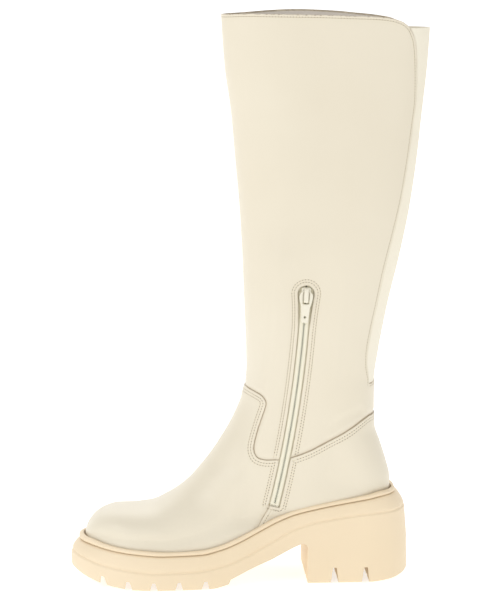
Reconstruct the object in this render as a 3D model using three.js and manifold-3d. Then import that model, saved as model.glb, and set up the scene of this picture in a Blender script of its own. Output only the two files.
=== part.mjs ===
// Knee-high leather boot for the right foot: lug sole with a block heel, an elastic gore up the back
// of the shaft and a short zip on the inner side. Millimetres, toe towards -X, inner (medial) side
// towards -Y, +Z up, with the ground at the bottom of the bounding box.
import * as THREE from "three";
import { mergeVertices } from "three/addons/utils/BufferGeometryUtils.js";
import Module from "manifold-3d";

const wasm = await Module();
wasm.setup();

// ---- Overall sizes --------------------------------------------------------------------------
const BOOT_LENGTH = 283; // sole, toe to back of heel
const BOOT_WIDTH = 108; // sole, across the ball
const BOOT_HEIGHT = 472; // ground to the top of the shaft
const PATTERN = { length: 283, width: 108, height: 472 }; // the size that the outlines below are drawn at

// ---- Thicknesses and clearances -------------------------------------------------------------
const GAP = 0.3; // between pieces that touch
const SEAM = GAP / 2; // each panel stops this far from its seam line
const LEATHER = 1.5;
const STIFFENER = 0.8; // toe puff and heel counter
const GORE_RECESS = 0.9; // the gore lies this far under the leather's face
const GORE = 1.0;
const LINING = 0.8;
const LINING_BELOW_RIM = 1.2;
const MARGIN_WIDTH = 16; // lasting margin turned under the insole board
const BOARD = 2.0;
const FOOTBED = 3.0;
const FILLER_REACH = -18; // the filler ends here, at the back of the ball
const SHANK = { from: -12, to: 84, halfWidth: 7, thickness: 1.4 };
const RIVET = { radius: 1.6, headRadius: 3.2, head: 0.9, tail: 0.6, at: [0, 72] };
const SCREW = { radius: 1.8, headRadius: 3.6, head: 1.0, length: 24, facets: 8 };
const SCREW_PLACES = [[70, -13], [70, 13], [90, -14], [90, 14], [102, 0]];

// Depths of the layers under the leather's face.
const LAYERS = {
  stiffener: LEATHER + GAP,
  footLining: LEATHER + STIFFENER + 2 * GAP,
  shaftLining: GORE_RECESS + GORE + GAP,
  inside: LEATHER + STIFFENER + LINING + 3 * GAP,
};

// ---- Sole -----------------------------------------------------------------------------------
const TREAD_EDGE = { height: 2.5, inset: 2.2 }; // rounded bottom edge
const STEP = { height: 1.8, share: 0.35 }; // ledge over the crease line, as a share of the inset at the welt
const BEAD_ROUND = 0.9; // how far the welt bead's edges fall back from its middle
const TOE_LUG = { places: [-124, -103, -82, -61, -39], height: 7, wide: 6.5, narrow: 2.5 };
const HEEL_LUG = { places: [68.7, 94.7], height: 13.3, wide: 6.6, narrow: 3 };
const CORE = { wall: 14, breastWall: 12, floor: 16 };

// ---- Zip ------------------------------------------------------------------------------------
const ZIP_TOP = [44, 251]; // x and z where the opening's arch begins
const ZIP_BOTTOM = [18.2, 65]; // x and z of the opening's lower end
const ZIP_RADIUS = 950; // the opening follows an arc whose centre is far in front of the toe
const ZIP_WALL = { topY: 39, bottomY: 33.5 }; // distance of the flat inner wall from the centre plane
const SLOT = { halfWidth: 4.6, arch: 6.75, archTaper: 34 };
const TAPE = { halfWidth: 8, split: 0.5, thickness: 0.6, above: 7, below: 3.5 };
const COIL = { width: 2.9, thickness: 1.0 };
const STOP = { length: 2.2, width: 2.4, thickness: 0.8 };
const BOTTOM_STOP = { length: 2.4, halfWidth: 3.4, thickness: 1.0 };
const GUARD = { halfWidth: 12, thickness: 0.8, above: 12, shortOfEnd: 7 };
const SLIDER = {
  start: 1.4, // below the top of the arch
  length: 12.6,
  shoulder: 3.9, // half-width at the top
  waist: 3.2, // half-width at the bottom
  corner: 1,
  topPlate: 1.2,
  lowPlate: 0.8,
  postLength: 3,
  postHalf: 0.25,
  crownHalf: 1.8,
  crownFoot: 1.2,
  crownRoof: 1.1,
};
const PULL = {
  pivot: 2.6, // from the slider's top edge to the hinge axis
  thickness: 1.2,
  headRadius: 5.6,
  windowHalf: 2.7,
  windowPast: 1, // from the slider's end to the end of the window
  neck: 9, // from the head's centre to the end of its taper
  neckHalf: 3.6,
  tipHalf: 2.8,
  corner: 1,
  length: 27,
  hole: 0.7,
  holeFromTip: 4.6,
};
const BAR_PLAY = 0.1; // between the pull's bar and the slider's upper plate
const PLATE_FACE = 0.2; // the slider's upper plate starts this far under the leather's face
const CUT_REACH = 10; // how far a cut through the flat wall runs past its faces

// ---- Scaling from the drawn pattern to the boot ---------------------------------------------
const long = (x) => (x * BOOT_LENGTH) / PATTERN.length;
const wide = (y) => (y * BOOT_WIDTH) / PATTERN.width;
const tall = (z) => (z * BOOT_HEIGHT) / PATTERN.height;
const scaleXZ = (points) => points.map(([x, z]) => [long(x), tall(z)]);
const FAR = 2 * BOOT_HEIGHT; // beyond every piece

// ---- Curves ---------------------------------------------------------------------------------
const mix = (a, b, f) => a + (b - a) * f;
const ease = (f) => {
  const c = Math.min(1, Math.max(0, f));
  return c * c * (3 - 2 * c);
};

// A smooth curve through [input, value] pairs that never overshoots them.
function smooth(pairs) {
  const x = pairs.map((p) => p[0]);
  const y = pairs.map((p) => p[1]);
  const step = x.slice(1).map((v, i) => v - x[i]);
  const rise = step.map((h, i) => (y[i + 1] - y[i]) / h);
  const slope = x.map((_, i) => {
    if (i === 0) return rise[0];
    if (i === x.length - 1) return rise[i - 1];
    if (rise[i - 1] * rise[i] <= 0) return 0;
    const a = 2 * step[i] + step[i - 1];
    const b = step[i] + 2 * step[i - 1];
    return (a + b) / (a / rise[i - 1] + b / rise[i]);
  });
  return (input) => {
    const v = Math.min(x[x.length - 1], Math.max(x[0], input));
    const above = x.findIndex((e) => e > v);
    const i = above < 0 ? step.length - 1 : Math.max(0, above - 1);
    const h = step[i];
    const f = (v - x[i]) / h;
    const g = 1 - f;
    const ends = y[i] * g * g * (1 + 2 * f) + y[i + 1] * f * f * (3 - 2 * f);
    return ends + h * f * g * (slope[i] * g - slope[i + 1] * f);
  };
}

// An open path in the side view, sampled from a smooth curve through its points.
function path(points, samples) {
  const curve = new THREE.SplineCurve(scaleXZ(points).map(([x, z]) => new THREE.Vector2(x, z)));
  return curve.getSpacedPoints(samples).map((p) => [p.x, p.y]);
}

// The path moved sideways: to its left for a positive distance.
function shifted(points, distance) {
  return points.map(([x, z], i) => {
    const [ax, az] = points[Math.max(0, i - 1)];
    const [bx, bz] = points[Math.min(points.length - 1, i + 1)];
    const size = Math.hypot(bx - ax, bz - az);
    return [x - (distance * (bz - az)) / size, z + (distance * (bx - ax)) / size];
  });
}

// ---- Solids ---------------------------------------------------------------------------------
function solidOf(geometry) {
  const bare = new THREE.BufferGeometry().setAttribute("position", geometry.getAttribute("position"));
  if (geometry.index) bare.setIndex(geometry.index);
  const merged = mergeVertices(bare, 1e-4);
  const vertProperties = new Float32Array(merged.attributes.position.array);
  const triVerts = new Uint32Array(merged.index.array);
  const made = new wasm.Manifold(new wasm.Mesh({ numProp: 3, vertProperties, triVerts }));
  if (made.volume() > 0) return made;
  for (let i = 0; i < triVerts.length; i += 3) {
    const first = triVerts[i];
    triVerts[i] = triVerts[i + 1];
    triVerts[i + 1] = first;
  }
  return new wasm.Manifold(new wasm.Mesh({ numProp: 3, vertProperties, triVerts }));
}

// A closed solid through rings of points. In each ring, point i and point (count - i) lie opposite.
function solidFromRings(rings) {
  const count = rings[0].length;
  const half = count / 2;
  const index = [];
  const quad = (a, b, c, d) => index.push(a, b, c, a, c, d);
  for (let r = 0; r + 1 < rings.length; r++)
    for (let i = 0; i < count; i++) {
      const next = (i + 1) % count;
      quad(r * count + i, r * count + next, (r + 1) * count + next, (r + 1) * count + i);
    }
  const cap = (base, turn) => {
    const at = (i) => base + ((i + count) % count);
    for (let i = 0; i < half; i++) {
      const corners = [at(i), at(-i), at(-i - 1), at(i + 1)];
      const ring = turn ? corners.reverse() : corners;
      const kept = ring.filter((v, n) => v !== ring[(n + 1) % ring.length]);
      for (let n = 1; n + 1 < kept.length; n++) index.push(kept[0], kept[n], kept[n + 1]);
    }
  };
  cap(0, false);
  cap((rings.length - 1) * count, true);
  const geometry = new THREE.BufferGeometry();
  geometry.setAttribute("position", new THREE.Float32BufferAttribute(rings.flat(2), 3));
  geometry.setIndex(index);
  return solidOf(geometry);
}

// A side-view outline, drawn in x and z, carried across the boot between two values of y.
function prism(outline, fromY, toY) {
  const shape = new THREE.Shape(outline.map(([x, z]) => new THREE.Vector2(x, z)));
  const geometry = new THREE.ExtrudeGeometry(shape, { depth: toY - fromY, bevelEnabled: false });
  geometry.rotateX(Math.PI / 2);
  geometry.translate(0, toY, 0);
  return solidOf(geometry);
}
const across = (outline) => prism(outline, -FAR, FAR);
const rectangle = (x, z, farX, farZ) => [[x, z], [farX, z], [farX, farZ], [x, farZ]];

const allOf = (first, ...rest) => rest.reduce((a, b) => a.intersect(b), first);
const without = (first, ...rest) => rest.reduce((a, b) => a.subtract(b), first);
const joined = (first, ...rest) => rest.reduce((a, b) => a.add(b), first);

// An upright round solid through [radius, z] steps, centred on a place in plan.
function turned(profile, x, y, facets) {
  const points = [[0, profile[0][1]], ...profile, [0, profile[profile.length - 1][1]]];
  const geometry = new THREE.LatheGeometry(points.map(([r, z]) => new THREE.Vector2(r, z)), facets);
  geometry.rotateX(Math.PI / 2);
  geometry.translate(x, y, 0);
  return solidOf(geometry);
}

// ---- The foot and leg form that the upper is pulled over ------------------------------------
// Each section runs from a point on the front edge to one on the back or bottom edge. The sections
// are level in the shaft, fan round the ankle and heel, and stand upright in the foot.
const SECTION_ENDS = [
  [-24, 476, 149, 476],
  [-20.8, 428.5, 146, 428],
  [-15.6, 389, 142, 389],
  [-12.3, 350, 138, 350],
  [-8.7, 310, 132.4, 310],
  [-6.2, 270, 124.4, 270],
  [-4.6, 230, 115, 230],
  [-3.3, 190, 107.5, 190],
  [-3.8, 169, 104.4, 168],
  [-7.5, 153, 103.6, 148],
  [-13.5, 137, 104.2, 128],
  [-20, 124.5, 109, 113],
  [-25.5, 115.5, 114.2, 97],
  [-29.5, 109.2, 117.3, 84],
  [-32.2, 105.4, 117.6, 75],
  [-34.6, 102, 110.5, 68.6],
  [-37.2, 98.6, 92, 65.2],
  [-40.6, 94.3, 66, 60.6],
  [-45, 89, 40, 54],
  [-51, 82.3, 14, 44.5],
  [-59.5, 74.9, -11, 33],
  [-71, 67.5, -36, 26.5],
  [-84.5, 61.6, -60, 24.5],
  [-98, 60.6, -83, 25],
  [-111, 60.8, -102, 27],
  [-122, 58.6, -117, 29.5],
  [-130.5, 53.5, -128, 32],
  [-136.2, 46, -134.8, 34.5],
  [-138.4, 40, -138, 38],
];
const LAST_SECTION = SECTION_ENDS.length - 1;
const endCurve = (column, scale) => smooth(SECTION_ENDS.map((row, k) => [k, scale(row[column])]));
const FRONT = { x: endCurve(0, long), z: endCurve(1, tall) };
const BACK = { x: endCurve(2, long), z: endCurve(3, tall) };
const alongSections = (pairs, scale) => smooth(pairs.map(([k, v]) => [k, scale(v)]));
const asDrawn = (v) => v;
const FORM = {
  centre: alongSections([[0, 0], [19, 0], [22, -3], [24, -5], [28, -5]], wide),
  medialFront: alongSections(
    [[0, 30.5], [2, 34.5], [4, 38.6], [5, 39.3], [7, 37.2], [9, 36], [11, 35], [17, 35.5], [19, 36.5],
     [21, 41], [22, 41.5], [23, 39.5], [24, 36.5], [25, 30.5], [26, 22], [27, 13.5], [28, 5]], wide),
  medialBack: alongSections(
    [[0, 30.5], [2, 34.5], [4, 38.6], [5, 39.3], [7, 37], [9, 34.5], [11, 32], [14, 30], [16, 32],
     [18, 33.5], [19, 37], [20, 41.5], [21, 44], [22, 44.5], [23, 42], [24, 38.5], [25, 32.5], [26, 23.5],
     [27, 14.5], [28, 5]], wide),
  lateralFront: alongSections(
    [[0, 31.5], [2, 36], [4, 39], [6, 38], [9, 35], [12, 35], [17, 36.5], [19, 39], [21, 44.5], [22, 44.5],
     [23, 41], [24, 37.5], [25, 29], [26, 21], [27, 13], [28, 5]], wide),
  lateralBack: alongSections(
    [[0, 31.5], [2, 36], [4, 39], [6, 38], [9, 34], [11, 32], [14, 30], [16, 33], [18, 37.5],
     [19, 43], [20, 47], [21, 48.5], [22, 47.5], [23, 43], [24, 39.5], [25, 30.5], [26, 22.5],
     [27, 14], [28, 5]], wide),
  frontShare: alongSections([[0, 0.45], [8, 0.42], [13, 0.3], [17, 0.36], [20, 0.56], [28, 0.56]], asDrawn),
  backShare: alongSections([[0, 0.52], [8, 0.56], [13, 0.78], [17, 0.8], [28, 0.8]], asDrawn),
  frontPower: alongSections([[0, 2.1], [18, 2.1], [24, 2.4], [28, 2.2]], asDrawn),
  backPower: alongSections([[0, 2.1], [14, 2.2], [16, 3.2], [18, 4], [28, 3.5]], asDrawn),
};

// The flat wall that carries the zip: its distance from the centre plane at a height.
const wallLean = (wide(ZIP_WALL.topY) - wide(ZIP_WALL.bottomY)) / (tall(ZIP_TOP[1]) - tall(ZIP_BOTTOM[1]));
const wallY = (z) => wide(ZIP_WALL.bottomY) + wallLean * (z - tall(ZIP_BOTTOM[1]));
const stretch = Math.hypot(1, wallLean); // length on the wall for each mm of height

// The zip's arc, in x and height along the wall.
const zipTop = new THREE.Vector2(long(ZIP_TOP[0]), tall(ZIP_TOP[1]) * stretch);
const zipEnd = new THREE.Vector2(long(ZIP_BOTTOM[0]), tall(ZIP_BOTTOM[1]) * stretch);
const chord = zipEnd.clone().sub(zipTop);
const toCentre = Math.sqrt(ZIP_RADIUS ** 2 - (chord.length() / 2) ** 2);
const zipCentre = new THREE.Vector2(chord.y, -chord.x)
  .setLength(toCentre)
  .add(zipTop)
  .addScaledVector(chord, 0.5);
const zipLength = 2 * ZIP_RADIUS * Math.asin(chord.length() / 2 / ZIP_RADIUS);
const topAngle = Math.atan2(zipTop.y - zipCentre.y, zipTop.x - zipCentre.x);
const onWall = (along, aside) => {
  const angle = topAngle - along / ZIP_RADIUS;
  return [
    zipCentre.x + (ZIP_RADIUS + aside) * Math.cos(angle),
    zipCentre.y + (ZIP_RADIUS + aside) * Math.sin(angle),
  ];
};
const zipX = (z) => zipCentre.x + Math.sqrt(ZIP_RADIUS ** 2 - (z * stretch - zipCentre.y) ** 2);

// How far the form is flattened to the zip's wall at a point of its inner side: 0 to 1.
const FLAT_REACH = { inner: 19, outer: 40, over: 40, under: 8, underFade: 12 };
function flattened(x, z) {
  const aside = Math.abs(x - zipX(z));
  const over = (z - tall(ZIP_TOP[1]) - GUARD.above) / FLAT_REACH.over;
  const under = (tall(ZIP_BOTTOM[1]) - FLAT_REACH.under - z) / FLAT_REACH.underFade;
  const sideways = (aside - FLAT_REACH.inner) / (FLAT_REACH.outer - FLAT_REACH.inner);
  return (1 - ease(sideways)) * (1 - ease(over)) * (1 - ease(under));
}

// Half-width along a section, from 0 at its front end to 0 at its back end.
function halfWidth(t, front, back, share, power) {
  if (t < share[0]) return front * (1 - (1 - t / share[0]) ** power[0]) ** (1 / power[0]);
  if (t > share[1]) return back * (1 - ((t - share[1]) / (1 - share[1])) ** power[1]) ** (1 / power[1]);
  return mix(front, back, ease((t - share[0]) / (share[1] - share[0])));
}

const TANGENT_STEP = 0.05;
// The end of a section, moved inwards by a depth at right angles to its edge.
function sectionEnd(edge, k, depth, inward) {
  const before = Math.max(0, k - TANGENT_STEP);
  const after = Math.min(LAST_SECTION, k + TANGENT_STEP);
  const dx = edge.x(after) - edge.x(before);
  const dz = edge.z(after) - edge.z(before);
  const size = Math.hypot(dx, dz) || 1;
  return [edge.x(k) - (inward * depth * dz) / size, edge.z(k) + (inward * depth * dx) / size];
}

// A point of the form at a depth under its surface. Side is -1 for medial and 1 for lateral.
const LEAST_WIDTH = 0.4;
function formPoint(k, t, side, depth) {
  const [fx, fz] = sectionEnd(FRONT, k, depth, 1);
  const [bx, bz] = sectionEnd(BACK, k, depth, -1);
  const x = mix(fx, bx, t);
  const z = mix(fz, bz, t);
  const widths = side < 0 ? [FORM.medialFront, FORM.medialBack] : [FORM.lateralFront, FORM.lateralBack];
  const [front, back] = widths.map((width) => Math.max(LEAST_WIDTH, width(k) - depth));
  const share = [FORM.frontShare(k), FORM.backShare(k)];
  const power = [FORM.frontPower(k), FORM.backPower(k)];
  const y = FORM.centre(k) + side * halfWidth(t, front, back, share, power);
  if (side > 0 || t === 0 || t === 1) return [x, y, z];
  return [x, mix(y, -(wallY(z) - depth), flattened(x, z)), z];
}

const counted = (count, made) => Array.from({ length: count }, (_, i) => made(i));
const ACROSS_STEPS = 8; // points along each side of a section
const shares = counted(ACROSS_STEPS + 1, (j) => (1 - Math.cos((Math.PI * j) / ACROSS_STEPS)) / 2);
const HALF_STEPS = [14.5]; // extra sections where the form turns most
const sections = [...SECTION_ENDS.keys(), ...HALF_STEPS].sort((a, b) => a - b);
const formCache = new Map();

// The whole form as a closed solid, at a depth under the leather's face.
function form(depth) {
  const key = depth.toFixed(3);
  if (!formCache.has(key)) {
    const rings = sections.map((k) => {
      const inner = shares.map((t) => formPoint(k, t, -1, depth));
      const outer = shares.slice(1, -1).reverse().map((t) => formPoint(k, t, 1, depth));
      return [...inner, ...outer];
    });
    formCache.set(key, solidFromRings(rings));
  }
  return formCache.get(key);
}
const layer = (from, thickness) => form(from).subtract(form(from + thickness));

// ---- Seam lines in the side view ------------------------------------------------------------
const GORE_EDGE = [
  [105, 467.3], [118, 465], [126, 461], [131, 454], [133.9, 443], [135, 425], [134.9, 400], [132, 376],
  [128, 348], [122.6, 317], [115.8, 288], [109.4, 262], [104, 235], [99.2, 212], [96.3, 195], [96.1, 181],
  [98.2, 170],
];
const RIM = {
  medial: [[-40, 464.5], [-24, 465], [-5, 467], [15, 468.5], [50, 469], [80, 468.5]],
  lateral: [[-40, 464.5], [-24, 465], [-3, 467.8], [18, 471], [42, 471.8], [70, 470.6], [88, 469]],
};
const GORE_TOP = 458;
const GORE_FOOT = 165;
const JUNCTION = [28, 105.3]; // vamp, quarters and shaft meet here
const QUARTER_SEAM = [
  [125, 139], [103.5, 138.5], [95, 137], [79.4, 128], [61.8, 119], [44.3, 110.7], JUNCTION,
];
const VAMP_SEAM = [
  JUNCTION, [17, 104.9], [9.5, 105.2], [3.6, 108], [1.3, 114], [2.2, 122], [6.1, 136], [10.4, 149], [11, 154],
  [7.2, 159], [-1, 161.5], [-8, 162.2], [-30, 163],
];
const SIDE_SEAM = [JUNCTION, [25.8, 96], [21.9, 79], [18.2, 65], [12, 52], [6, 40], [-2, 10]];

const quarterSeam = path(QUARTER_SEAM, 10);
const vampSeam = path(VAMP_SEAM, 20);
const sideSeam = path(SIDE_SEAM, 8);

// The shaft panel's outer edge on one side: along the rim, round the corner and down the gore.
function shaftEdge(rim, inset) {
  const edge = path([...rim, ...GORE_EDGE], 30);
  return shifted(edge, -inset);
}

// The side-view region of a shaft panel.
function shaftRegion(rim, inset) {
  const edge = shaftEdge(rim, inset);
  const goreEnd = tall(GORE_FOOT) - inset;
  const under = shifted([...quarterSeam, ...vampSeam.slice(1)], -inset);
  return [...edge, [edge.at(-1)[0] + inset, goreEnd], [quarterSeam[0][0], goreEnd], ...under];
}

const halves = { medial: [-FAR, -SEAM], lateral: [SEAM, FAR] };
// The space under a seam line that runs from the rear to the front.
const below = (seam, gap, rearX, frontX) => {
  const line = shifted(seam, gap);
  return across([[rearX, line[0][1]], ...line, [frontX, line.at(-1)[1]], [frontX, -FAR], [rearX, -FAR]]);
};
// The space on one side of a line that runs downwards.
const beside = (line, farX) => {
  const [first, last] = [line[0], line.at(-1)];
  return across([[farX, FAR], [first[0], FAR], ...line, [last[0], -FAR], [farX, -FAR]]);
};

// ---- Height curves of the bottom ------------------------------------------------------------
const heights = (pairs) => smooth(scaleXZ(pairs));
const WELT_TOP = heights([
  [-143, 42.5], [-134, 42.3], [-127.7, 40.6], [-110, 36.1], [-91, 33.6], [-69, 32.5], [-42, 33.4],
  [-26.6, 36.5], [-11, 42.5], [4.8, 49.6], [20.5, 57.5], [36.4, 63], [56, 67.3], [75.6, 71.1],
  [95.3, 74.9], [109.5, 78], [122, 81.5],
]);
const GROOVE = heights([
  [-144, 37.4], [-134, 36.6], [-110, 31.6], [-91, 29.4], [-71.6, 28.6], [-42.5, 28.9], [-26.6, 32],
  [-11.2, 37.6], [4.4, 45.1], [20.3, 52.9], [36, 58.7], [55.7, 63.4], [94.9, 70.7], [108.8, 73.8],
  [122, 77.3],
]);
const CREASE = heights([
  [-148, 27], [-134, 22.3], [-110, 17.5], [-81, 14.5], [-50, 15], [-23, 19], [-3.3, 26.4], [16.4, 36.2],
  [36, 46.1], [51.7, 51.2], [75, 55.4], [95, 58], [130, 59.5],
]);
const TREAD = heights([
  [-150, 11], [-140, 7.4], [-127, 4], [-108, 1], [-96, 0], [98, 0], [116, 0.9], [133, 3.4],
]);
const BED = heights(SECTION_ENDS.slice(15).map((row) => [row[2], row[3]]).reverse());
const ARCH = [
  [-33, -5], [-33, 0], [-20, 3.7], [-18.4, 7.5], [-3.2, 14.7], [16.6, 22.6], [34, 31.2], [40.5, 34],
  [44.5, 33.6], [46.2, 31], [46.2, -5],
];

// ---- Plan outline of the sole ---------------------------------------------------------------
// The angle runs from 0 at the toe to 180 at the back of the heel.
const SOLE_ENDS = [-150.2, 132.6];
const soleCentre = smooth([[0, wide(-6)], [35, wide(-5)], [62, wide(-3)], [86, 0], [180, 0]]);
const SOLE_HALF = {
  medial: smooth(
    [[0, 0], [22, 24], [35, 38], [50, 48], [62, 52], [73, 52], [85.5, 49], [98, 42.5], [110, 38.5],
     [124, 38], [137, 38], [151, 33], [164, 21], [180, 0]].map(([a, w]) => [a, wide(w)])),
  lateral: smooth(
    [[0, 0], [22, 22], [35, 36], [50, 48], [62, 54], [73, 55.5], [85.5, 53.5], [98, 49], [110, 43],
     [124, 40], [137, 39], [151, 33.5], [164, 21.5], [180, 0]].map(([a, w]) => [a, wide(w)])),
};
const WELT_INSET = smooth([[0, 6.7], [50, 3.6], [90, 3], [130, 3.8], [158, 7.5], [180, 11.6]]);
const FLARE = smooth([[0, 0.2], [90, 0.4], [140, 1], [180, 2.6]]);

const SIDE_ANGLE = 90;
const TURN_STEP = 0.5;
// A point of the sole's outline, moved inwards by an inset at right angles to it.
function solePoint(angle, side, inset) {
  const at = (a) => {
    const turn = (a * Math.PI) / 180;
    const x = long((SOLE_ENDS[0] + SOLE_ENDS[1]) / 2 - ((SOLE_ENDS[1] - SOLE_ENDS[0]) / 2) * Math.cos(turn));
    const half = side < 0 ? SOLE_HALF.medial(a) : SOLE_HALF.lateral(a);
    return [x, soleCentre(a) + side * half];
  };
  const [x, y] = at(angle);
  if (angle <= 0) return [x + inset, y];
  if (angle >= 180) return [x - inset, y];
  const [ax, ay] = at(angle - TURN_STEP);
  const [bx, by] = at(angle + TURN_STEP);
  const size = Math.hypot(bx - ax, by - ay);
  return [x - (side * inset * (ay - by)) / size, y + (side * inset * (ax - bx)) / size];
}

const ROUND_STEPS = 18;
// One ring of the sole: inset and height are functions of the angle and of x.
function soleRing(inset, height) {
  const angles = counted(ROUND_STEPS + 1, (i) => (180 * i) / ROUND_STEPS);
  const at = (a, side) => {
    const [x, y] = solePoint(a, side, inset(a));
    return [x, y, height(x)];
  };
  return [...angles.map((a) => at(a, -1)), ...angles.slice(1, -1).reverse().map((a) => at(a, 1))];
}

// A plug with the sole's plan, set in by a margin, between two heights.
function plug(inset, low, high) {
  return solidFromRings([soleRing(() => inset, low), soleRing(() => inset, high)]);
}
// The hole that the lasting margin leaves in the leather and linings under the foot.
const marginOpening = (margin) => {
  const inset = margin + WELT_INSET(SIDE_ANGLE);
  return plug(inset, () => -FAR, (x) => BED(x) + LAYERS.inside + BOARD);
};
const openBottom = marginOpening(MARGIN_WIDTH);

// ---- Zip pieces, drawn on the wall and raised along its outward normal ----------------------
const wallUp = new THREE.Vector3(0, -wallLean, 1).normalize();
const wallOut = new THREE.Vector3(1, 0, 0).cross(wallUp);
const wallOrigin = new THREE.Vector3(0, -wallY(0), 0);
const wallFrame = (depth) =>
  new THREE.Matrix4()
    .makeBasis(new THREE.Vector3(1, 0, 0), wallUp, wallOut)
    .setPosition(wallOrigin.clone().addScaledVector(wallOut, -depth));

// A slab with an outline of [along, aside] points, between two depths under the leather's face.
function wallSlab(outline, near, far, holes = []) {
  const flat = (points) => points.map(([along, aside]) => new THREE.Vector2(...onWall(along, aside)));
  const shape = new THREE.Shape(flat(outline));
  shape.holes = holes.map((hole) => new THREE.Path(flat(hole)));
  const geometry = new THREE.ExtrudeGeometry(shape, { depth: far - near, bevelEnabled: false });
  geometry.applyMatrix4(wallFrame(far));
  return solidOf(geometry);
}

const STRIP_STEPS = 10; // along the whole zip
// The outline of a band between two distances along the arc and two beside it.
function band(from, to, left, right) {
  const steps = Math.ceil((STRIP_STEPS * (to - from)) / zipLength);
  const places = counted(steps + 1, (i) => mix(from, to, i / steps));
  return [...places.map((s) => [s, left]), ...places.reverse().map((s) => [s, right])];
}

// The opening in the leather: a round arch that tapers into a straight-sided slot.
const ARC_STEPS = 8;
const halfTurn = counted(ARC_STEPS + 1, (i) => (Math.PI * i) / ARC_STEPS);
function openingOutline() {
  const cap = halfTurn.map((a) => [SLOT.arch * (1 - Math.sin(a)), -SLOT.arch * Math.cos(a)]);
  const half = (s) => mix(SLOT.arch, SLOT.halfWidth, Math.sqrt(ease((s - SLOT.arch) / SLOT.archTaper)));
  const places = counted(STRIP_STEPS, (i) => mix(SLOT.arch, zipLength, (i + 1) / STRIP_STEPS));
  const down = places.map((s) => [s, half(s)]);
  return [...cap, ...down, ...down.map(([s, a]) => [s, -a]).reverse()];
}
const opening = wallSlab(openingOutline(), -CUT_REACH, LEATHER + GAP / 2);

// ---- Nodes ----------------------------------------------------------------------------------
const group = new THREE.Group();
const finish = (color, roughness, metalness = 0) => ({ color, roughness, metalness });
const FINISH = {
  leather: finish(0xece5d3, 0.5),
  elastic: finish(0xf3ead2, 0.85),
  lining: finish(0xbeb4aa, 0.9),
  board: finish(0xc9b48c, 0.9),
  rubber: finish(0xf2e4c8, 0.65),
  tape: finish(0xe9e2c6, 0.8),
  metal: finish(0xf1ecd9, 0.35, 0.3),
  steel: finish(0x9aa0a6, 0.35, 1),
};

function add(name, solid, look) {
  const mesh = solid.getMesh();
  const geometry = new THREE.BufferGeometry();
  geometry.setAttribute("position", new THREE.Float32BufferAttribute(mesh.vertProperties, 3));
  geometry.setIndex(new THREE.Uint32BufferAttribute(mesh.triVerts, 1));
  geometry.computeVertexNormals();
  const made = new THREE.Mesh(geometry, new THREE.MeshStandardMaterial(look));
  made.name = name;
  group.add(made);
}

// Upper panels.
const leather = layer(0, LEATHER);
for (const side of ["medial", "lateral"]) {
  const region = prism(shaftRegion(RIM[side], SEAM), ...halves[side]);
  add("shaft_" + side, without(allOf(leather, region), opening), FINISH.leather);
}
const footLeather = leather.subtract(openBottom);
const behindSide = beside(shifted(sideSeam, SEAM), FAR);
const beforeSide = beside(shifted(sideSeam, -SEAM), -FAR);
const quarters = allOf(footLeather, below(quarterSeam, SEAM, FAR, quarterSeam.at(-1)[0] - GAP), behindSide);
for (const side of ["medial", "lateral"]) {
  const half = prism(rectangle(-FAR, -FAR, FAR, FAR), ...halves[side]);
  add("quarter_" + side, without(allOf(quarters, half), opening), FINISH.leather);
}
const vampSide = below(vampSeam, SEAM, vampSeam[0][0] + GAP, -FAR);
add("vamp", without(allOf(footLeather, vampSide, beforeSide), opening), FINISH.leather);

// Elastic gore: it runs down the back between the two shaft panels.
const goreSpan = across(rectangle(0, tall(GORE_FOOT) + SEAM, FAR, tall(GORE_TOP)));
const leatherSides = [
  prism(shaftRegion(RIM.medial, -SEAM), -FAR, 0),
  prism(shaftRegion(RIM.lateral, -SEAM), 0, FAR),
];
add("gore", without(allOf(layer(GORE_RECESS, GORE), goreSpan), ...leatherSides), FINISH.elastic);

// Stiffeners between the leather and the foot lining.
const stiffener = layer(LAYERS.stiffener, STIFFENER).subtract(openBottom);
const PUFF_LINE = [[-86, 90], [-90, 40], [-86, 10]];
const COUNTER_LINE = [[170, 114], [108, 111], [84, 103], [62, 86], [52, 62], [48, 30]];
add("toe_puff", stiffener.intersect(beside(path(PUFF_LINE, 4), -FAR)), FINISH.board);
add("heel_counter", stiffener.intersect(beside(path(COUNTER_LINE, 8), FAR)), FINISH.board);

// Linings. The shaft lining starts over the foot lining and stops at the gore.
const LINING_SPLIT = 150;
const windowHalf = TAPE.halfWidth + 2 * GAP;
const windowBand = band(-TAPE.above - 2 * GAP, zipLength + TAPE.below + 2 * GAP, -windowHalf, windowHalf);
const liningWindow = wallSlab(windowBand, LEATHER, CUT_REACH);
const shaftLining = ["medial", "lateral"].map((side) => {
  const edge = shaftEdge(RIM[side], LINING_BELOW_RIM);
  const foot = [[FAR, tall(GORE_FOOT)], [FAR, tall(LINING_SPLIT) + GAP], [-FAR, tall(LINING_SPLIT) + GAP]];
  const outline = [...edge, ...foot, [-FAR, edge[0][1]]];
  return prism(outline, ...(side === "medial" ? [-FAR, SEAM] : [-SEAM, FAR]));
});
add(
  "lining_shaft",
  without(allOf(layer(LAYERS.shaftLining, LINING), joined(...shaftLining)), liningWindow),
  FINISH.lining,
);
const lowerSide = across(rectangle(-FAR, -FAR, FAR, tall(LINING_SPLIT)));
add(
  "lining_foot",
  without(allOf(layer(LAYERS.footLining, LINING), lowerSide), liningWindow, openBottom),
  FINISH.lining,
);

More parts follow.
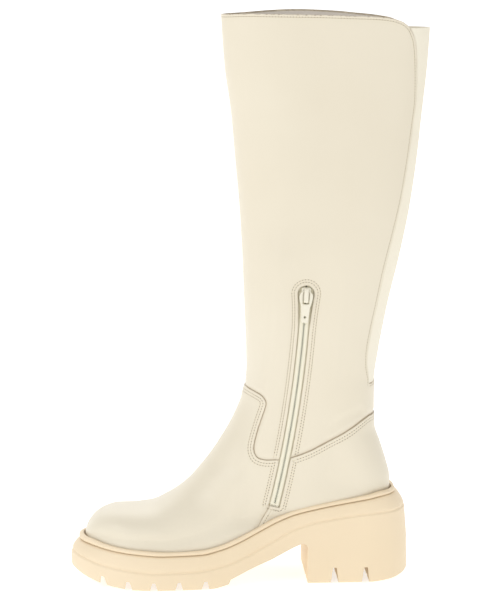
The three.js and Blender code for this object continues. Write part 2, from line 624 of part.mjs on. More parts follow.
// Insole board, steel shank, filler and footbed, stacked on the lasting margin.
const inside = form(LAYERS.inside + GAP);
const slab = (low, high) => {
  const places = SECTION_ENDS.slice(15).map((row) => long(row[2]));
  const ends = [FAR, ...places, -FAR];
  return across([...ends.map((x) => [x, BED(x) + high]), ...ends.reverse().map((x) => [x, BED(x) + low])]);
};
const STACK = {
  board: LAYERS.inside + GAP,
  bed: LAYERS.inside + BOARD + 2 * GAP,
};
const upright = (places, profile) =>
  joined(...places.map(([x, y]) => turned(profile(long(x)), long(x), wide(y), SCREW.facets)));
const screwSteps = (grow) => (x) => {
  const top = BED(x) + STACK.board + BOARD + GAP;
  const { radius, headRadius, head, length } = SCREW;
  return [
    [radius + grow, top - length - grow],
    [radius + grow, top],
    [headRadius + grow, top],
    [headRadius + grow, top + head + grow],
  ];
};
const rivetSteps = (grow) => (x) => {
  const top = BED(x) + STACK.board + BOARD + GAP;
  const low = BED(x) + STACK.board - GAP - SHANK.thickness;
  const { radius, headRadius, head, tail } = RIVET;
  return [
    [radius + 2 * tail + grow, low - GAP - tail - grow],
    [radius + 2 * tail + grow, low - GAP + grow],
    [radius + grow, low - GAP + grow],
    [radius + grow, top - grow],
    [headRadius + grow, top - grow],
    [headRadius + grow, top + head + grow],
  ];
};
const RIVET_PLACES = RIVET.at.map((x) => [x, 0]);
const screwRoom = upright(SCREW_PLACES, screwSteps(GAP));
const rivetRoom = upright(RIVET_PLACES, rivetSteps(GAP));
SCREW_PLACES.forEach((place, i) =>
  add("heel_screw_" + (i + 1), upright([place], screwSteps(0)), FINISH.steel),
);
RIVET_PLACES.forEach((place, i) =>
  add("shank_rivet_" + ["front", "rear"][i], upright([place], rivetSteps(0)), FINISH.steel),
);
const board = allOf(inside, slab(STACK.board, STACK.board + BOARD));
add("insole_board", without(board, screwRoom, rivetRoom), FINISH.board);
const footbed = allOf(inside, slab(STACK.bed, STACK.bed + FOOTBED));
add("footbed", without(footbed, screwRoom, rivetRoom), FINISH.lining);
const shankStrip = slab(STACK.board - GAP - SHANK.thickness, STACK.board - GAP);
const shankSpan = rectangle(long(SHANK.from), -FAR, long(SHANK.to), FAR);
const shankPlan = prism(shankSpan, -SHANK.halfWidth, SHANK.halfWidth);
add("shank", without(allOf(shankStrip, shankPlan), screwRoom, rivetRoom), FINISH.steel);
const ahead = across(rectangle(-FAR, -FAR, long(FILLER_REACH), FAR));
const filler = allOf(marginOpening(MARGIN_WIDTH + GAP), slab(0, STACK.board - GAP), ahead, form(0));
add("forefoot_filler", filler, FINISH.board);

// Welt: a rounded bead that lies on the sole's rim, all round the upper.
const weltMiddle = (x) => (WELT_TOP(x) + GROOVE(x) + GAP) / 2;
const bead = solidFromRings([
  soleRing((a) => WELT_INSET(a) + BEAD_ROUND, (x) => GROOVE(x) + GAP),
  soleRing((a) => WELT_INSET(a), weltMiddle),
  soleRing((a) => WELT_INSET(a) + BEAD_ROUND, WELT_TOP),
]);
const upperRoom = form(-GAP);
add("welt", bead.subtract(upperRoom), FINISH.rubber);

// Sole unit: one moulding with the tread, the arch, the block heel and a hollow for the heel core.
const wedge = ({ height, wide: foot, narrow }) => (x) =>
  across([
    [long(x) - foot / 2, -FAR],
    [long(x) - foot / 2, TREAD(long(x))],
    [long(x) - narrow / 2, TREAD(long(x)) + height],
    [long(x) + narrow / 2, TREAD(long(x)) + height],
    [long(x) + foot / 2, TREAD(long(x))],
    [long(x) + foot / 2, -FAR],
  ]);
const block = solidFromRings([
  soleRing((a) => FLARE(a) + TREAD_EDGE.inset, TREAD),
  soleRing(() => 0, (x) => TREAD(x) + TREAD_EDGE.height),
  soleRing(FLARE, CREASE),
  soleRing((a) => mix(FLARE(a), WELT_INSET(a), STEP.share), (x) => CREASE(x) + STEP.height),
  soleRing(WELT_INSET, GROOVE),
]);
const coreRoom = (grow) => {
  const front = long(ARCH.at(-1)[0]) + CORE.breastWall - grow;
  const rear = across(rectangle(front, -FAR, FAR, FAR));
  return plug(CORE.wall - grow, () => CORE.floor - grow, () => FAR).intersect(rear);
};
const heelCore = without(coreRoom(0), form(-2 * GAP), slab(-GAP, FAR), screwRoom);
add("heel_core", heelCore, FINISH.board);
const notches = [...TOE_LUG.places.map(wedge(TOE_LUG)), ...HEEL_LUG.places.map(wedge(HEEL_LUG))];
const arch = across(scaleXZ(ARCH));
add("sole_unit", without(block, upperRoom, coreRoom(GAP), arch, ...notches, screwRoom), FINISH.rubber);

// ---- Zip nodes ------------------------------------------------------------------------------
const TAPE_FACE = LEATHER + GAP;
const COIL_FACE = TAPE_FACE - GAP - COIL.thickness;
const LOW_PLATE = TAPE_FACE + TAPE.thickness + GAP;
const GUARD_FACE = Math.max(LOW_PLATE + SLIDER.lowPlate, LAYERS.inside - GAP) + 2 * GAP;
const coilEnd = zipLength - BOTTOM_STOP.length - 3 * GAP;
for (const [name, side] of [["front", -1], ["rear", 1]]) {
  const strip = (from, to, near, far) => band(from, to, side * near, side * far);
  const tape = strip(-TAPE.above, zipLength + TAPE.below, TAPE.split, TAPE.halfWidth);
  add("zip_tape_" + name, wallSlab(tape, TAPE_FACE, TAPE_FACE + TAPE.thickness), FINISH.tape);
  const coil = strip(SLIDER.start + 2 * GAP, coilEnd, TAPE.split, TAPE.split + COIL.width);
  add("zip_coil_" + name, wallSlab(coil, COIL_FACE, COIL_FACE + COIL.thickness), FINISH.tape);
  const stopAt = SLIDER.start - GAP - STOP.length;
  const stop = strip(stopAt, stopAt + STOP.length, TAPE.split + GAP, TAPE.split + STOP.width);
  add("zip_top_stop_" + name, wallSlab(stop, LOW_PLATE, LOW_PLATE + STOP.thickness), FINISH.metal);
}
const stopEnd = zipLength - GAP;
const lastStop = band(stopEnd - BOTTOM_STOP.length, stopEnd, -BOTTOM_STOP.halfWidth, BOTTOM_STOP.halfWidth);
add("zip_bottom_stop", wallSlab(lastStop, COIL_FACE, COIL_FACE + BOTTOM_STOP.thickness), FINISH.metal);
const guard = band(-GUARD.above, zipLength - GUARD.shortOfEnd, -GUARD.halfWidth, GUARD.halfWidth);
add("zip_guard", wallSlab(guard, GUARD_FACE, GUARD_FACE + GUARD.thickness), FINISH.lining);

// Slider: two plates joined by a post between the tapes, and a crown over the pull's bar.
const sliderEnd = SLIDER.start + SLIDER.length;
const mirrored = (edge) => [...edge, ...edge.map(([s, a]) => [s, -a]).reverse()];
const plate = mirrored([
  [SLIDER.start, SLIDER.shoulder - SLIDER.corner],
  [SLIDER.start + SLIDER.corner, SLIDER.shoulder],
  [mix(SLIDER.start, sliderEnd, 0.5), SLIDER.shoulder],
  [sliderEnd, SLIDER.waist],
]);
const post = band(SLIDER.start, SLIDER.start + SLIDER.postLength, -SLIDER.postHalf, SLIDER.postHalf);
const outerFace = PLATE_FACE - SLIDER.topPlate;
const barReach = PULL.thickness * Math.SQRT1_2; // the square bar's corner turns at this radius
const pivotDepth = outerFace - BAR_PLAY - barReach;
const roofUnder = pivotDepth - barReach - GAP;
const feet = { top: SLIDER.start + PULL.pivot - barReach - GAP, low: sliderEnd };
const crown = (from, to, depth) =>
  wallSlab(band(from, to, -SLIDER.crownHalf, SLIDER.crownHalf), roofUnder - SLIDER.crownRoof, depth);
const slider = joined(
  wallSlab(plate, outerFace, PLATE_FACE),
  wallSlab(plate, LOW_PLATE, LOW_PLATE + SLIDER.lowPlate),
  wallSlab(post, outerFace, LOW_PLATE + GAP),
  crown(feet.top - SLIDER.crownFoot, feet.top, outerFace + GAP),
  crown(feet.low - SLIDER.crownFoot, feet.low, outerFace + GAP),
  crown(feet.top - SLIDER.crownFoot, feet.low, roofUnder),
);
add("zip_slider", slider, FINISH.metal);

// Pull tab: a round head with a window for the crown, and a tongue with a small hole.
const pivotAt = SLIDER.start + PULL.pivot;
const headTop = pivotAt - PULL.thickness / 2;
const headCentre = headTop + PULL.headRadius;
const tipAt = headTop + PULL.length;
const tongue = [
  [headCentre + PULL.neck, PULL.neckHalf],
  [tipAt - PULL.corner, PULL.tipHalf],
  [tipAt, PULL.tipHalf - PULL.corner],
];
const pullHead = halfTurn.map((a) => [-PULL.headRadius * Math.sin(a), -PULL.headRadius * Math.cos(a)]);
const pullOutline = [...pullHead.map(([s, a]) => [headCentre + s, a]), ...mirrored(tongue)];
const windowTop = pivotAt + PULL.thickness / 2;
const pullWindow = band(windowTop, sliderEnd + PULL.windowPast, -PULL.windowHalf, PULL.windowHalf);
const holeAt = tipAt - PULL.holeFromTip;
const fullTurn = counted(ARC_STEPS, (i) => (2 * Math.PI * i) / ARC_STEPS);
const tipHole = fullTurn.map((a) => [holeAt + PULL.hole * Math.cos(a), PULL.hole * Math.sin(a)]);
const [pullFace, pullBack] = [pivotDepth - PULL.thickness / 2, pivotDepth + PULL.thickness / 2];
add("zip_pull", wallSlab(pullOutline, pullFace, pullBack, [pullWindow, tipHole]), FINISH.metal);

// ---- Origin: the middle of the bounding box, on the ground ----------------------------------
const bounds = new THREE.Box3().setFromObject(group);
const middle = bounds.getCenter(new THREE.Vector3());
group.position.set(-middle.x, -middle.y, -bounds.min.z);

export default group;
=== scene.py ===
"""Visual model of a knee-high zip boot for the right foot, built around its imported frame.

Lengths are millimetres in the pattern's own axes (toe towards -X, inner side towards -Y, up +Z).
The pattern is moved into the frame and turned into metres only when a mesh is made.
"""

import logging
import math
from dataclasses import dataclass
from enum import Enum
from typing import Callable, ClassVar, Iterable, Sequence

import bpy
import numpy as np
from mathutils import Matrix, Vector, kdtree
from mathutils.geometry import delaunay_2d_cdt


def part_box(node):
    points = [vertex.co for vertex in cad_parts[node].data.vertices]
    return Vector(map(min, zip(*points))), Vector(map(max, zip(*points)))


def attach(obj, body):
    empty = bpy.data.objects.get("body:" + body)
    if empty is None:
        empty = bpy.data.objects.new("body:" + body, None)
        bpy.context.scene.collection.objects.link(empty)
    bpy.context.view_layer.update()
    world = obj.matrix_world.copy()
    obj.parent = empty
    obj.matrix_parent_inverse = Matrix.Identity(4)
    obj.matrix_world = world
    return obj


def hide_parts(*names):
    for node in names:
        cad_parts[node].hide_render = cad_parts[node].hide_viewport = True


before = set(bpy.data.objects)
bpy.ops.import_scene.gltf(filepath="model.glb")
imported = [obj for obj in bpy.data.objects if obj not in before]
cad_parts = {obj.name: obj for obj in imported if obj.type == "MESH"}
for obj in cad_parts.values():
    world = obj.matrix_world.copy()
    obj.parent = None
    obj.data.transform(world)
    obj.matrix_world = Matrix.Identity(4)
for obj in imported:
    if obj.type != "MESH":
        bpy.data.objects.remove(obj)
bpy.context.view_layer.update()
LOG = logging.getLogger("boot")
Array = np.ndarray
Line = tuple[tuple[float, float], ...]
MEDIAL, LATERAL = -1, 1
BOTH = {MEDIAL: "medial", LATERAL: "lateral"}
MM = 0.001


# ---- Numbers and curves ---------------------------------------------------------------------
def mix(a: Array, b: Array, share: Array) -> Array:
    """The value that lies a share of the way from a to b."""
    return a + (b - a) * share


def ease(share: Array) -> Array:
    """A smooth step from 0 to 1."""
    c = np.clip(share, 0.0, 1.0)
    return c * c * (3 - 2 * c)


def unit(vectors: Array) -> Array:
    """The vectors at length 1."""
    size = np.linalg.norm(vectors, axis=-1, keepdims=True)
    return vectors / np.maximum(size, 1e-9)


class Curve:
    """A smooth curve through (input, value) pairs that never overshoots them."""

    def __init__(self, pairs: Sequence[Sequence[float]]) -> None:
        """Keeps the pairs and works out the slope at each.

        Args:
            pairs: Input and value, in rising order of input.
        """
        self.x, self.y = np.array(pairs, float).T
        step = np.diff(self.x)
        rise = np.diff(self.y) / step
        slope = np.concatenate([[rise[0]], np.zeros(len(rise) - 1), [rise[-1]]])
        a = 2 * step[1:] + step[:-1]
        b = step[1:] + 2 * step[:-1]
        same = rise[:-1] * rise[1:] > 0
        safe = np.where(same, rise[:-1], 1.0), np.where(same, rise[1:], 1.0)
        slope[1:-1] = np.where(same, (a + b) / (a / safe[0] + b / safe[1]), 0.0)
        self.slope = slope

    def __call__(self, value: Array) -> Array:
        """The curve's value.

        Args:
            value: Inputs, held to the ends of the curve.

        Returns:
            One value for each input.
        """
        v = np.clip(value, self.x[0], self.x[-1])
        i = np.clip(np.searchsorted(self.x, v, side="right") - 1, 0, len(self.x) - 2)
        h = self.x[i + 1] - self.x[i]
        f = (v - self.x[i]) / h
        g = 1 - f
        ends = self.y[i] * g * g * (1 + 2 * f) + self.y[i + 1] * f * f * (3 - 2 * f)
        return ends + h * f * g * (self.slope[i] * g - self.slope[i + 1] * f)


def respaced(points: Array, pitch: float) -> Array:
    """Points at an even pitch along a line of points.

    Args:
        points: The line, one row a point.
        pitch: Distance wanted between neighbours.

    Returns:
        The new points, with both ends kept.
    """
    size = np.linalg.norm(np.diff(points, axis=0), axis=1)
    run = np.concatenate([[0], np.cumsum(size)])
    count = max(2, int(round(run[-1] / pitch)) + 1)
    at = np.linspace(0, run[-1], count)
    return np.stack([np.interp(at, run, column) for column in points.T], axis=1)


def densified(outline: Array, pitch: float) -> Array:
    """A closed outline with points added along its longer stretches.

    Args:
        outline: Its corners, which are all kept.
        pitch: The longest stretch that is left whole.

    Returns:
        The outline's points in order.
    """
    made = []
    for start, end in zip(outline, np.roll(outline, -1, axis=0)):
        count = max(1, int(np.ceil(np.linalg.norm(end - start) / pitch)))
        made.append(mix(start, end, np.linspace(0, 1, count, endpoint=False)[:, None]))
    return np.concatenate(made)


def path(points: Sequence[Sequence[float]], pitch: float = 1.4) -> Array:
    """A line through points, rounded between them.

    Args:
        points: Corner points.
        pitch: Distance between the points given back.

    Returns:
        Evenly spaced points of the rounded line.
    """
    p = np.array(points, float)
    last = len(p) - 1
    made = []
    for i in range(last):
        before, start, end, after = p[max(0, i - 1)], p[i], p[i + 1], p[min(last, i + 2)]
        v0, v1 = (end - before) / 2, (after - start) / 2
        w = np.linspace(0, 1, 24, endpoint=False)[:, None]
        cubic = (2 * start - 2 * end + v0 + v1) * w**3
        made.append(cubic + (-3 * start + 3 * end - 2 * v0 - v1) * w**2 + v0 * w + start)
    return respaced(np.concatenate([*made, p[-1:]]), pitch)


def inside_polygon(points: Array, polygon: Array) -> Array:
    """Which points lie in a closed outline.

    Args:
        points: Points in the plane.
        polygon: The outline's corners.

    Returns:
        One truth value a point.
    """
    x, y = points[:, 0], points[:, 1]
    hit = np.zeros(len(points), bool)
    for (ax, ay), (bx, by) in zip(polygon, np.roll(polygon, -1, axis=0)):
        if ay == by:
            continue
        crossed = (ay > y) != (by > y)
        hit ^= crossed & (x < (bx - ax) * (y - ay) / (by - ay) + ax)
    return hit


# ---- Meshes ---------------------------------------------------------------------------------
def place() -> Array:
    """How far the pattern's axes lie from the frame's, found from the sole and the shank."""
    low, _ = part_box("sole_unit")
    left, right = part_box("shank")
    return np.array([low.x / MM - Sole.toe, (left.y + right.y) / 2 / MM, 0.0])


def make_piece(
    name: str,
    points: Array,
    faces: Sequence[Sequence[int]],
    material: bpy.types.Material,
    stands_for: Iterable[str] = (),
    body: str = "boot",
    crease: float = 42.0,
    marks: Array | None = None,
) -> bpy.types.Object:
    """Makes one piece of the object and ties it to its body.

    Args:
        name: The piece's name.
        points: Corners, in pattern millimetres.
        faces: Corner numbers of each face.
        material: Its finish.
        stands_for: The frame's nodes that this piece replaces.
        body: The body that it moves with.
        crease: Edges that turn by more than these degrees stay sharp.
        marks: A vector for each corner, read by the finish as "surface".

    Returns:
        The new object.
    """
    mesh = bpy.data.meshes.new(name)
    mesh.from_pydata(((points + place()) * MM).tolist(), [], [list(f) for f in faces])
    mesh.validate()
    if marks is not None:
        attribute = mesh.attributes.new("surface", "FLOAT_VECTOR", "POINT")
        attribute.data.foreach_set("vector", np.asarray(marks, np.float32).ravel())
    mesh.shade_smooth()
    mesh.set_sharp_from_angle(angle=math.radians(crease))
    mesh.materials.append(material)
    piece = bpy.data.objects.new(name, mesh)
    bpy.context.scene.collection.objects.link(piece)
    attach(piece, body)
    if stands_for:
        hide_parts(*stands_for)
    LOG.info("%s: %d faces", name, len(mesh.polygons))
    return piece


def grid_faces(rows: int, columns: int, closed: bool = False) -> Array:
    """Quads of a grid of points, numbered row by row.

    Args:
        rows: Rows of points.
        columns: Points in a row.
        closed: Whether each row runs on from its last point to its first.

    Returns:
        Four corner numbers a quad.
    """
    across = columns if closed else columns - 1
    r, c = np.meshgrid(np.arange(rows - 1), np.arange(across), indexing="ij")
    n = (c + 1) % columns
    quads = [r * columns + c, r * columns + n, (r + 1) * columns + n, (r + 1) * columns + c]
    return np.stack(quads, axis=-1).reshape(-1, 4)


# ---- The form that the upper is pulled over --------------------------------------------------
class Form:
    """The foot and leg shape: sections fan from the shaft's top round the heel to the toe.

    A place on it is (u, v): u runs round a section in millimetres, with 0 at the front edge and
    the inner side negative, and v runs down the front and on to the toe.
    """

    ENDS = np.array([
        [-24, 476, 149, 476], [-20.8, 428.5, 146, 428], [-15.6, 389, 142, 389],
        [-12.3, 350, 138, 350], [-8.7, 310, 132.4, 310], [-6.2, 270, 124.4, 270],
        [-4.6, 230, 115, 230], [-3.3, 190, 107.5, 190], [-3.8, 169, 104.4, 168],
        [-7.5, 153, 103.6, 148], [-13.5, 137, 104.2, 128], [-20, 124.5, 109, 113],
        [-25.5, 115.5, 114.2, 97], [-29.5, 109.2, 117.3, 84], [-32.2, 105.4, 117.6, 75],
        [-34.6, 102, 110.5, 68.6], [-37.2, 98.6, 92, 65.2], [-40.6, 94.3, 66, 60.6],
        [-45, 89, 40, 54], [-51, 82.3, 14, 44.5], [-59.5, 74.9, -11, 33],
        [-71, 67.5, -36, 26.5], [-84.5, 61.6, -60, 24.5], [-98, 60.6, -83, 25],
        [-111, 60.8, -102, 27], [-122, 58.6, -117, 29.5], [-130.5, 53.5, -128, 32],
        [-136.2, 46, -134.8, 34.5], [-138.4, 40, -138, 38],
    ])
    WIDTHS = {
        (MEDIAL, "front"): [
            (0, 30.5), (2, 34.5), (4, 38.6), (5, 39.3), (7, 37.2), (9, 36), (11, 35), (17, 35.5),
            (19, 36.5), (21, 41), (22, 41.5), (23, 39.5), (24, 36.5), (25, 30.5), (26, 22),
            (27, 13.5), (28, 5)],
        (MEDIAL, "back"): [
            (0, 30.5), (2, 34.5), (4, 38.6), (5, 39.3), (7, 37), (9, 34.5), (11, 32), (14, 30),
            (16, 32), (18, 33.5), (19, 37), (20, 41.5), (21, 44), (22, 44.5), (23, 42), (24, 38.5),
            (25, 32.5), (26, 23.5), (27, 14.5), (28, 5)],
        (LATERAL, "front"): [
            (0, 31.5), (2, 36), (4, 39), (6, 38), (9, 35), (12, 35), (17, 36.5), (19, 39),
            (21, 44.5), (22, 44.5), (23, 41), (24, 37.5), (25, 29), (26, 21), (27, 13), (28, 5)],
        (LATERAL, "back"): [
            (0, 31.5), (2, 36), (4, 39), (6, 38), (9, 34), (11, 32), (14, 30), (16, 33),
            (18, 37.5), (19, 43), (20, 47), (21, 48.5), (22, 47.5), (23, 43), (24, 39.5),
            (25, 30.5), (26, 22.5), (27, 14), (28, 5)],
    }
    GIRTH = 55.0  # millimetres of u for each radian round a section
    STEP = 0.3  # to each side of a place, to find how the surface lies there
    BALL = 22.0  # the section at the ball of the foot
    STRAY = 0.05  # how far a point may lie off the outline in the side view

    def __init__(self) -> None:
        """Makes the curves that run through the sections."""
        count = len(self.ENDS)
        self.last = float(count - 1)
        self.ends = [Curve([(k, row[i]) for k, row in enumerate(self.ENDS)]) for i in range(4)]
        self.widths = {key: Curve(pairs) for key, pairs in self.WIDTHS.items()}
        self.centre = Curve([(0, 0), (19, 0), (22, -3), (24, -5), (28, -5)])
        self.share = (
            Curve([(0, 0.45), (8, 0.42), (13, 0.3), (17, 0.36), (20, 0.56), (28, 0.56)]),
            Curve([(0, 0.52), (8, 0.56), (13, 0.78), (17, 0.8), (28, 0.8)]),
        )
        self.power = (
            Curve([(0, 2.1), (18, 2.1), (24, 2.4), (28, 2.2)]),
            Curve([(0, 2.1), (14, 2.2), (16, 3.2), (18, 4), (28, 3.5)]),
        )
        moved = np.diff(self.ENDS, axis=0)
        front, back = np.hypot(moved[:, 0], moved[:, 1]), np.hypot(moved[:, 2], moved[:, 3])
        run = np.concatenate([[0], np.cumsum((front + back) / 2)])
        self.depth_at = Curve(list(enumerate(run)))
        self.fine_k = np.linspace(0, self.last, 2000)
        self.fine_v = self.depth_at(self.fine_k)
        self.half_girth = math.pi * self.GIRTH

    def half_width(self, k: Array, t: Array, side: Array) -> Array:
        """Half the form's width, on one side, a share t of the way from front to back."""
        shares, powers = [c(k) for c in self.share], [c(k) for c in self.power]
        width = []
        for end in ("front", "back"):
            inner, outer = self.widths[MEDIAL, end](k), self.widths[LATERAL, end](k)
            width.append(np.where(side < 0, inner, outer))
        ahead = np.clip(1 - t / shares[0], 0, 1)
        behind = np.clip((t - shares[1]) / (1 - shares[1]), 0, 1)
        front = width[0] * (1 - ahead ** powers[0]) ** (1 / powers[0])
        back = width[1] * np.clip(1 - behind ** powers[1], 0, 1) ** (1 / powers[1])
        middle = mix(width[0], width[1], ease((t - shares[0]) / (shares[1] - shares[0])))
        return np.where(t < shares[0], front, np.where(t > shares[1], back, middle))

    def point(self, u: Array, v: Array) -> Array:
        """Points of the surface.

        Args:
            u: Millimetres round the section, negative on the inner side.
            v: Millimetres down and along the form.

        Returns:
            One row of x, y and z for each place.
        """
        k = np.interp(v, self.fine_v, self.fine_k)
        turn = (u / self.GIRTH + math.pi) % (2 * math.pi)
        side = np.where(turn < math.pi, MEDIAL, LATERAL)
        t = (1 - np.cos(np.abs(turn - math.pi))) / 2
        fx, fz, bx, bz = (c(k) for c in self.ends)
        x, z = mix(fx, bx, t), mix(fz, bz, t)
        y = self.centre(k) + side * self.half_width(k, t, side)
        flat = np.where(side < 0, WALL.flattened(x, z), 0.0)
        return np.stack([x, mix(y, -WALL.distance(z), flat), z], axis=-1)

    def raised(self, uv: Array, height: Array) -> Array:
        """Points of the surface, moved outwards.

        Args:
            uv: Places on the form.
            height: Distance outwards, negative for inwards.

        Returns:
            One row of x, y and z for each place.
        """
        u, v = uv[:, 0], uv[:, 1]
        out = unit(np.cross(*self.tangents(uv)))
        return self.point(u, v) + out * np.asarray(height)[..., None]

    def tangents(self, uv: Array) -> tuple[Array, Array]:
        """How the surface point moves for each millimetre of u and of v."""
        u, v = uv[:, 0], uv[:, 1]
        h = self.STEP
        end = self.fine_v[-1]
        low, high = np.clip(v - h, 0, end), np.clip(v + h, 0, end)
        along = (self.point(u, high) - self.point(u, low)) / (high - low)[:, None]
        return (self.point(u + h, v) - self.point(u - h, v)) / (2 * h), along

    def locate(self, points: Array, side: int) -> Array:
        """The places whose side view is given.

        Args:
            points: Rows of x and z.
            side: Which side of the boot they lie on.

        Returns:
            Places, with those past an edge moved on to it.
        """
        low, high = np.zeros(len(points)), np.full(len(points), self.last)
        for _ in range(40):
            k = (low + high) / 2
            fx, fz, bx, bz = (c(k) for c in self.ends)
            turn = (bx - fx) * (points[:, 1] - fz) - (bz - fz) * (points[:, 0] - fx)
            low, high = np.where(turn < 0, k, low), np.where(turn < 0, high, k)
        fx, fz, bx, bz = (c(low) for c in self.ends)
        size = (bx - fx) ** 2 + (bz - fz) ** 2
        t = ((points[:, 0] - fx) * (bx - fx) + (points[:, 1] - fz) * (bz - fz)) / size
        angle = np.arccos(np.clip(1 - 2 * t, -1, 1))
        return np.stack([side * angle * self.GIRTH, self.depth_at(low)], axis=1)

    def covers(self, points: Array, under: float) -> Array:
        """Which points lie inside the form by at least a distance, measured sideways."""
        ball = self.centre(np.full(len(points), self.BALL))
        sides = np.where(points[:, 1] < ball, MEDIAL, LATERAL)
        found = self.locate(points[:, [0, 2]], LATERAL)
        surface = self.point(found[:, 0] * sides, found[:, 1])
        middle = self.centre(np.interp(found[:, 1], self.fine_v, self.fine_k))
        room = np.abs(surface[:, 1] - middle) - np.abs(points[:, 1] - middle)
        strayed = np.hypot(surface[:, 0] - points[:, 0], surface[:, 2] - points[:, 2])
        return (room > under) & (strayed < self.STRAY)

    def shifted(self, line: Array, distance: float) -> Array:
        """A line of places moved sideways over the surface.

        Args:
            line: Places in order.
            distance: How far, to the left when it is seen from outside.

        Returns:
            The moved places.
        """
        su, sv = self.tangents(line)
        points = self.point(line[:, 0], line[:, 1])
        along = unit(np.gradient(points, axis=0))
        aside = unit(np.cross(unit(np.cross(su, sv)), along)) * distance
        uu, vv, uv = (su * su).sum(1), (sv * sv).sum(1), (su * sv).sum(1)
        au, av = (aside * su).sum(1), (aside * sv).sum(1)
        size = uu * vv - uv * uv
        move = np.stack([(au * vv - av * uv) / size, (av * uu - au * uv) / size], axis=1)
        return line + move


@dataclass(frozen=True)
class ZipWall:
    """The flat inner wall that carries the zip, and the arc that the zip follows on it."""

    top: tuple[float, float] = (44.0, 251.0)
    end: tuple[float, float] = (18.2, 65.0)
    radius: float = 950.0
    top_y: float = 39.0
    end_y: float = 33.5
    inner: float = 19.0
    outer: float = 40.0
    over: float = 40.0
    above: float = 12.0
    under: float = 8.0
    fade: float = 12.0

    @property
    def lean(self) -> float:
        """How much further out the wall is for each millimetre up."""
        return (self.top_y - self.end_y) / (self.top[1] - self.end[1])

    @property
    def stretch(self) -> float:
        """Length on the wall for each millimetre of height."""
        return math.hypot(1, self.lean)

    @property
    def centre(self) -> Array:
        """The arc's centre, in x and height along the wall."""
        top = np.array([self.top[0], self.top[1] * self.stretch])
        end = np.array([self.end[0], self.end[1] * self.stretch])
        chord = end - top
        away = math.sqrt(self.radius**2 - (np.linalg.norm(chord) / 2) ** 2)
        return top + chord / 2 + unit(np.array([chord[1], -chord[0]])) * away

    @property
    def length(self) -> float:
        """Length of the opening along its arc."""
        top, end = np.array(self.top), np.array(self.end)
        rise = (end - top) * np.array([1, self.stretch])
        return 2 * self.radius * math.asin(np.linalg.norm(rise) / 2 / self.radius)

    def distance(self, z: Array) -> Array:
        """The wall's distance from the centre plane at a height."""
        return self.end_y + self.lean * (z - self.end[1])

    def flattened(self, x: Array, z: Array) -> Array:
        """How far the form is flattened to the wall, from 0 to 1."""
        centre = self.centre
        root = np.maximum(self.radius**2 - (z * self.stretch - centre[1]) ** 2, 0)
        aside = np.abs(x - centre[0] - np.sqrt(root))
        sideways = ease((aside - self.inner) / (self.outer - self.inner))
        high = ease((z - self.top[1] - self.above) / self.over)
        low = ease((self.end[1] - self.under - z) / self.fade)
        return (1 - sideways) * (1 - high) * (1 - low)

    def side_view(self, along: Array, aside: Array) -> Array:
        """Where a place on the wall lies in the side view.

        Args:
            along: Distance down the arc from its top.
            aside: Distance from it, positive towards the back.

        Returns:
            Rows of x and z.
        """
        centre = self.centre
        start = math.atan2(self.top[1] * self.stretch - centre[1], self.top[0] - centre[0])
        angle = start - np.asarray(along) / self.radius
        reach = self.radius + np.asarray(aside)
        x, height = centre[0] + reach * np.cos(angle), centre[1] + reach * np.sin(angle)
        return np.stack([x, height / self.stretch], axis=-1)

    def point(self, along: Array, aside: Array, depth: Array) -> Array:
        """A point at a depth under the leather's face."""
        flat = self.side_view(along, aside)
        x, z = flat[..., 0], flat[..., 1]
        face = np.stack([x, -self.distance(z), z], axis=-1)
        out = np.array([0.0, -1.0, -self.lean]) / self.stretch
        return face - np.asarray(depth)[..., None] * out


WALL = ZipWall()
FORM = Form()


# ---- Finishes -------------------------------------------------------------------------------
class Effect(Enum):
    """Shader node groups that several finishes share."""

    GRAIN = "grain"
    WEAVE = "weave"
    TONE = "tone"
    # darkening read from each corner's mark: edge paint and painted shade
    EDGE_PAINT_AND_SHADE = "edge"


class Tree:
    """A short way to add and join shader nodes."""

    def __init__(self, tree: bpy.types.NodeTree) -> None:
        """Wraps a node tree."""
        self.tree = tree

    def add(self, kind: str, inputs: dict | None = None, **settings: object) -> bpy.types.Node:
        """Adds a node.

        Args:
            kind: The node's type, without its ShaderNode prefix.
            inputs: A value or an output socket for each named or numbered input.
            **settings: The node's own properties.

        Returns:
            The node.
        """
        node = self.tree.nodes.new("ShaderNode" + kind)
        for key, value in settings.items():
            setattr(node, key, value)
        for key, value in (inputs or {}).items():
            if isinstance(value, bpy.types.NodeSocket):
                self.tree.links.new(value, node.inputs[key])
            else:
                node.inputs[key].default_value = value
        return node

    def math(self, operation: str, first: object, second: object = 0.0) -> bpy.types.NodeSocket:
        """The output of a Math node."""
        return self.add("Math", {0: first, 1: second}, operation=operation).outputs[0]

    def group(self, effect: Effect, inputs: dict) -> bpy.types.Node:
        """Places a shared effect."""
        return self.add("Group", inputs, node_tree=shared_group(effect))

    def blend(self, share: object, first: object, second: object) -> bpy.types.NodeSocket:
        """The output of a Mix node between two colours."""
        return self.add("Mix", {0: share, 6: first, 7: second}, data_type="RGBA").outputs[2]


def _opened(
    tree: bpy.types.NodeTree, inputs: dict[str, float], outputs: Sequence[str]
) -> tuple[Tree, bpy.types.Node, bpy.types.Node]:
    """Gives a group its named number sockets.

    Args:
        tree: The group's tree.
        inputs: Name and first value of each input.
        outputs: Name of each output.

    Returns:
        The builder of the tree, its input node and its output node.
    """
    for name, value in inputs.items():
        made = tree.interface.new_socket(name, in_out="INPUT", socket_type="NodeSocketFloat")
        made.default_value = value
    for name in outputs:
        tree.interface.new_socket(name, in_out="OUTPUT", socket_type="NodeSocketFloat")
    return Tree(tree), tree.nodes.new("NodeGroupInput"), tree.nodes.new("NodeGroupOutput")


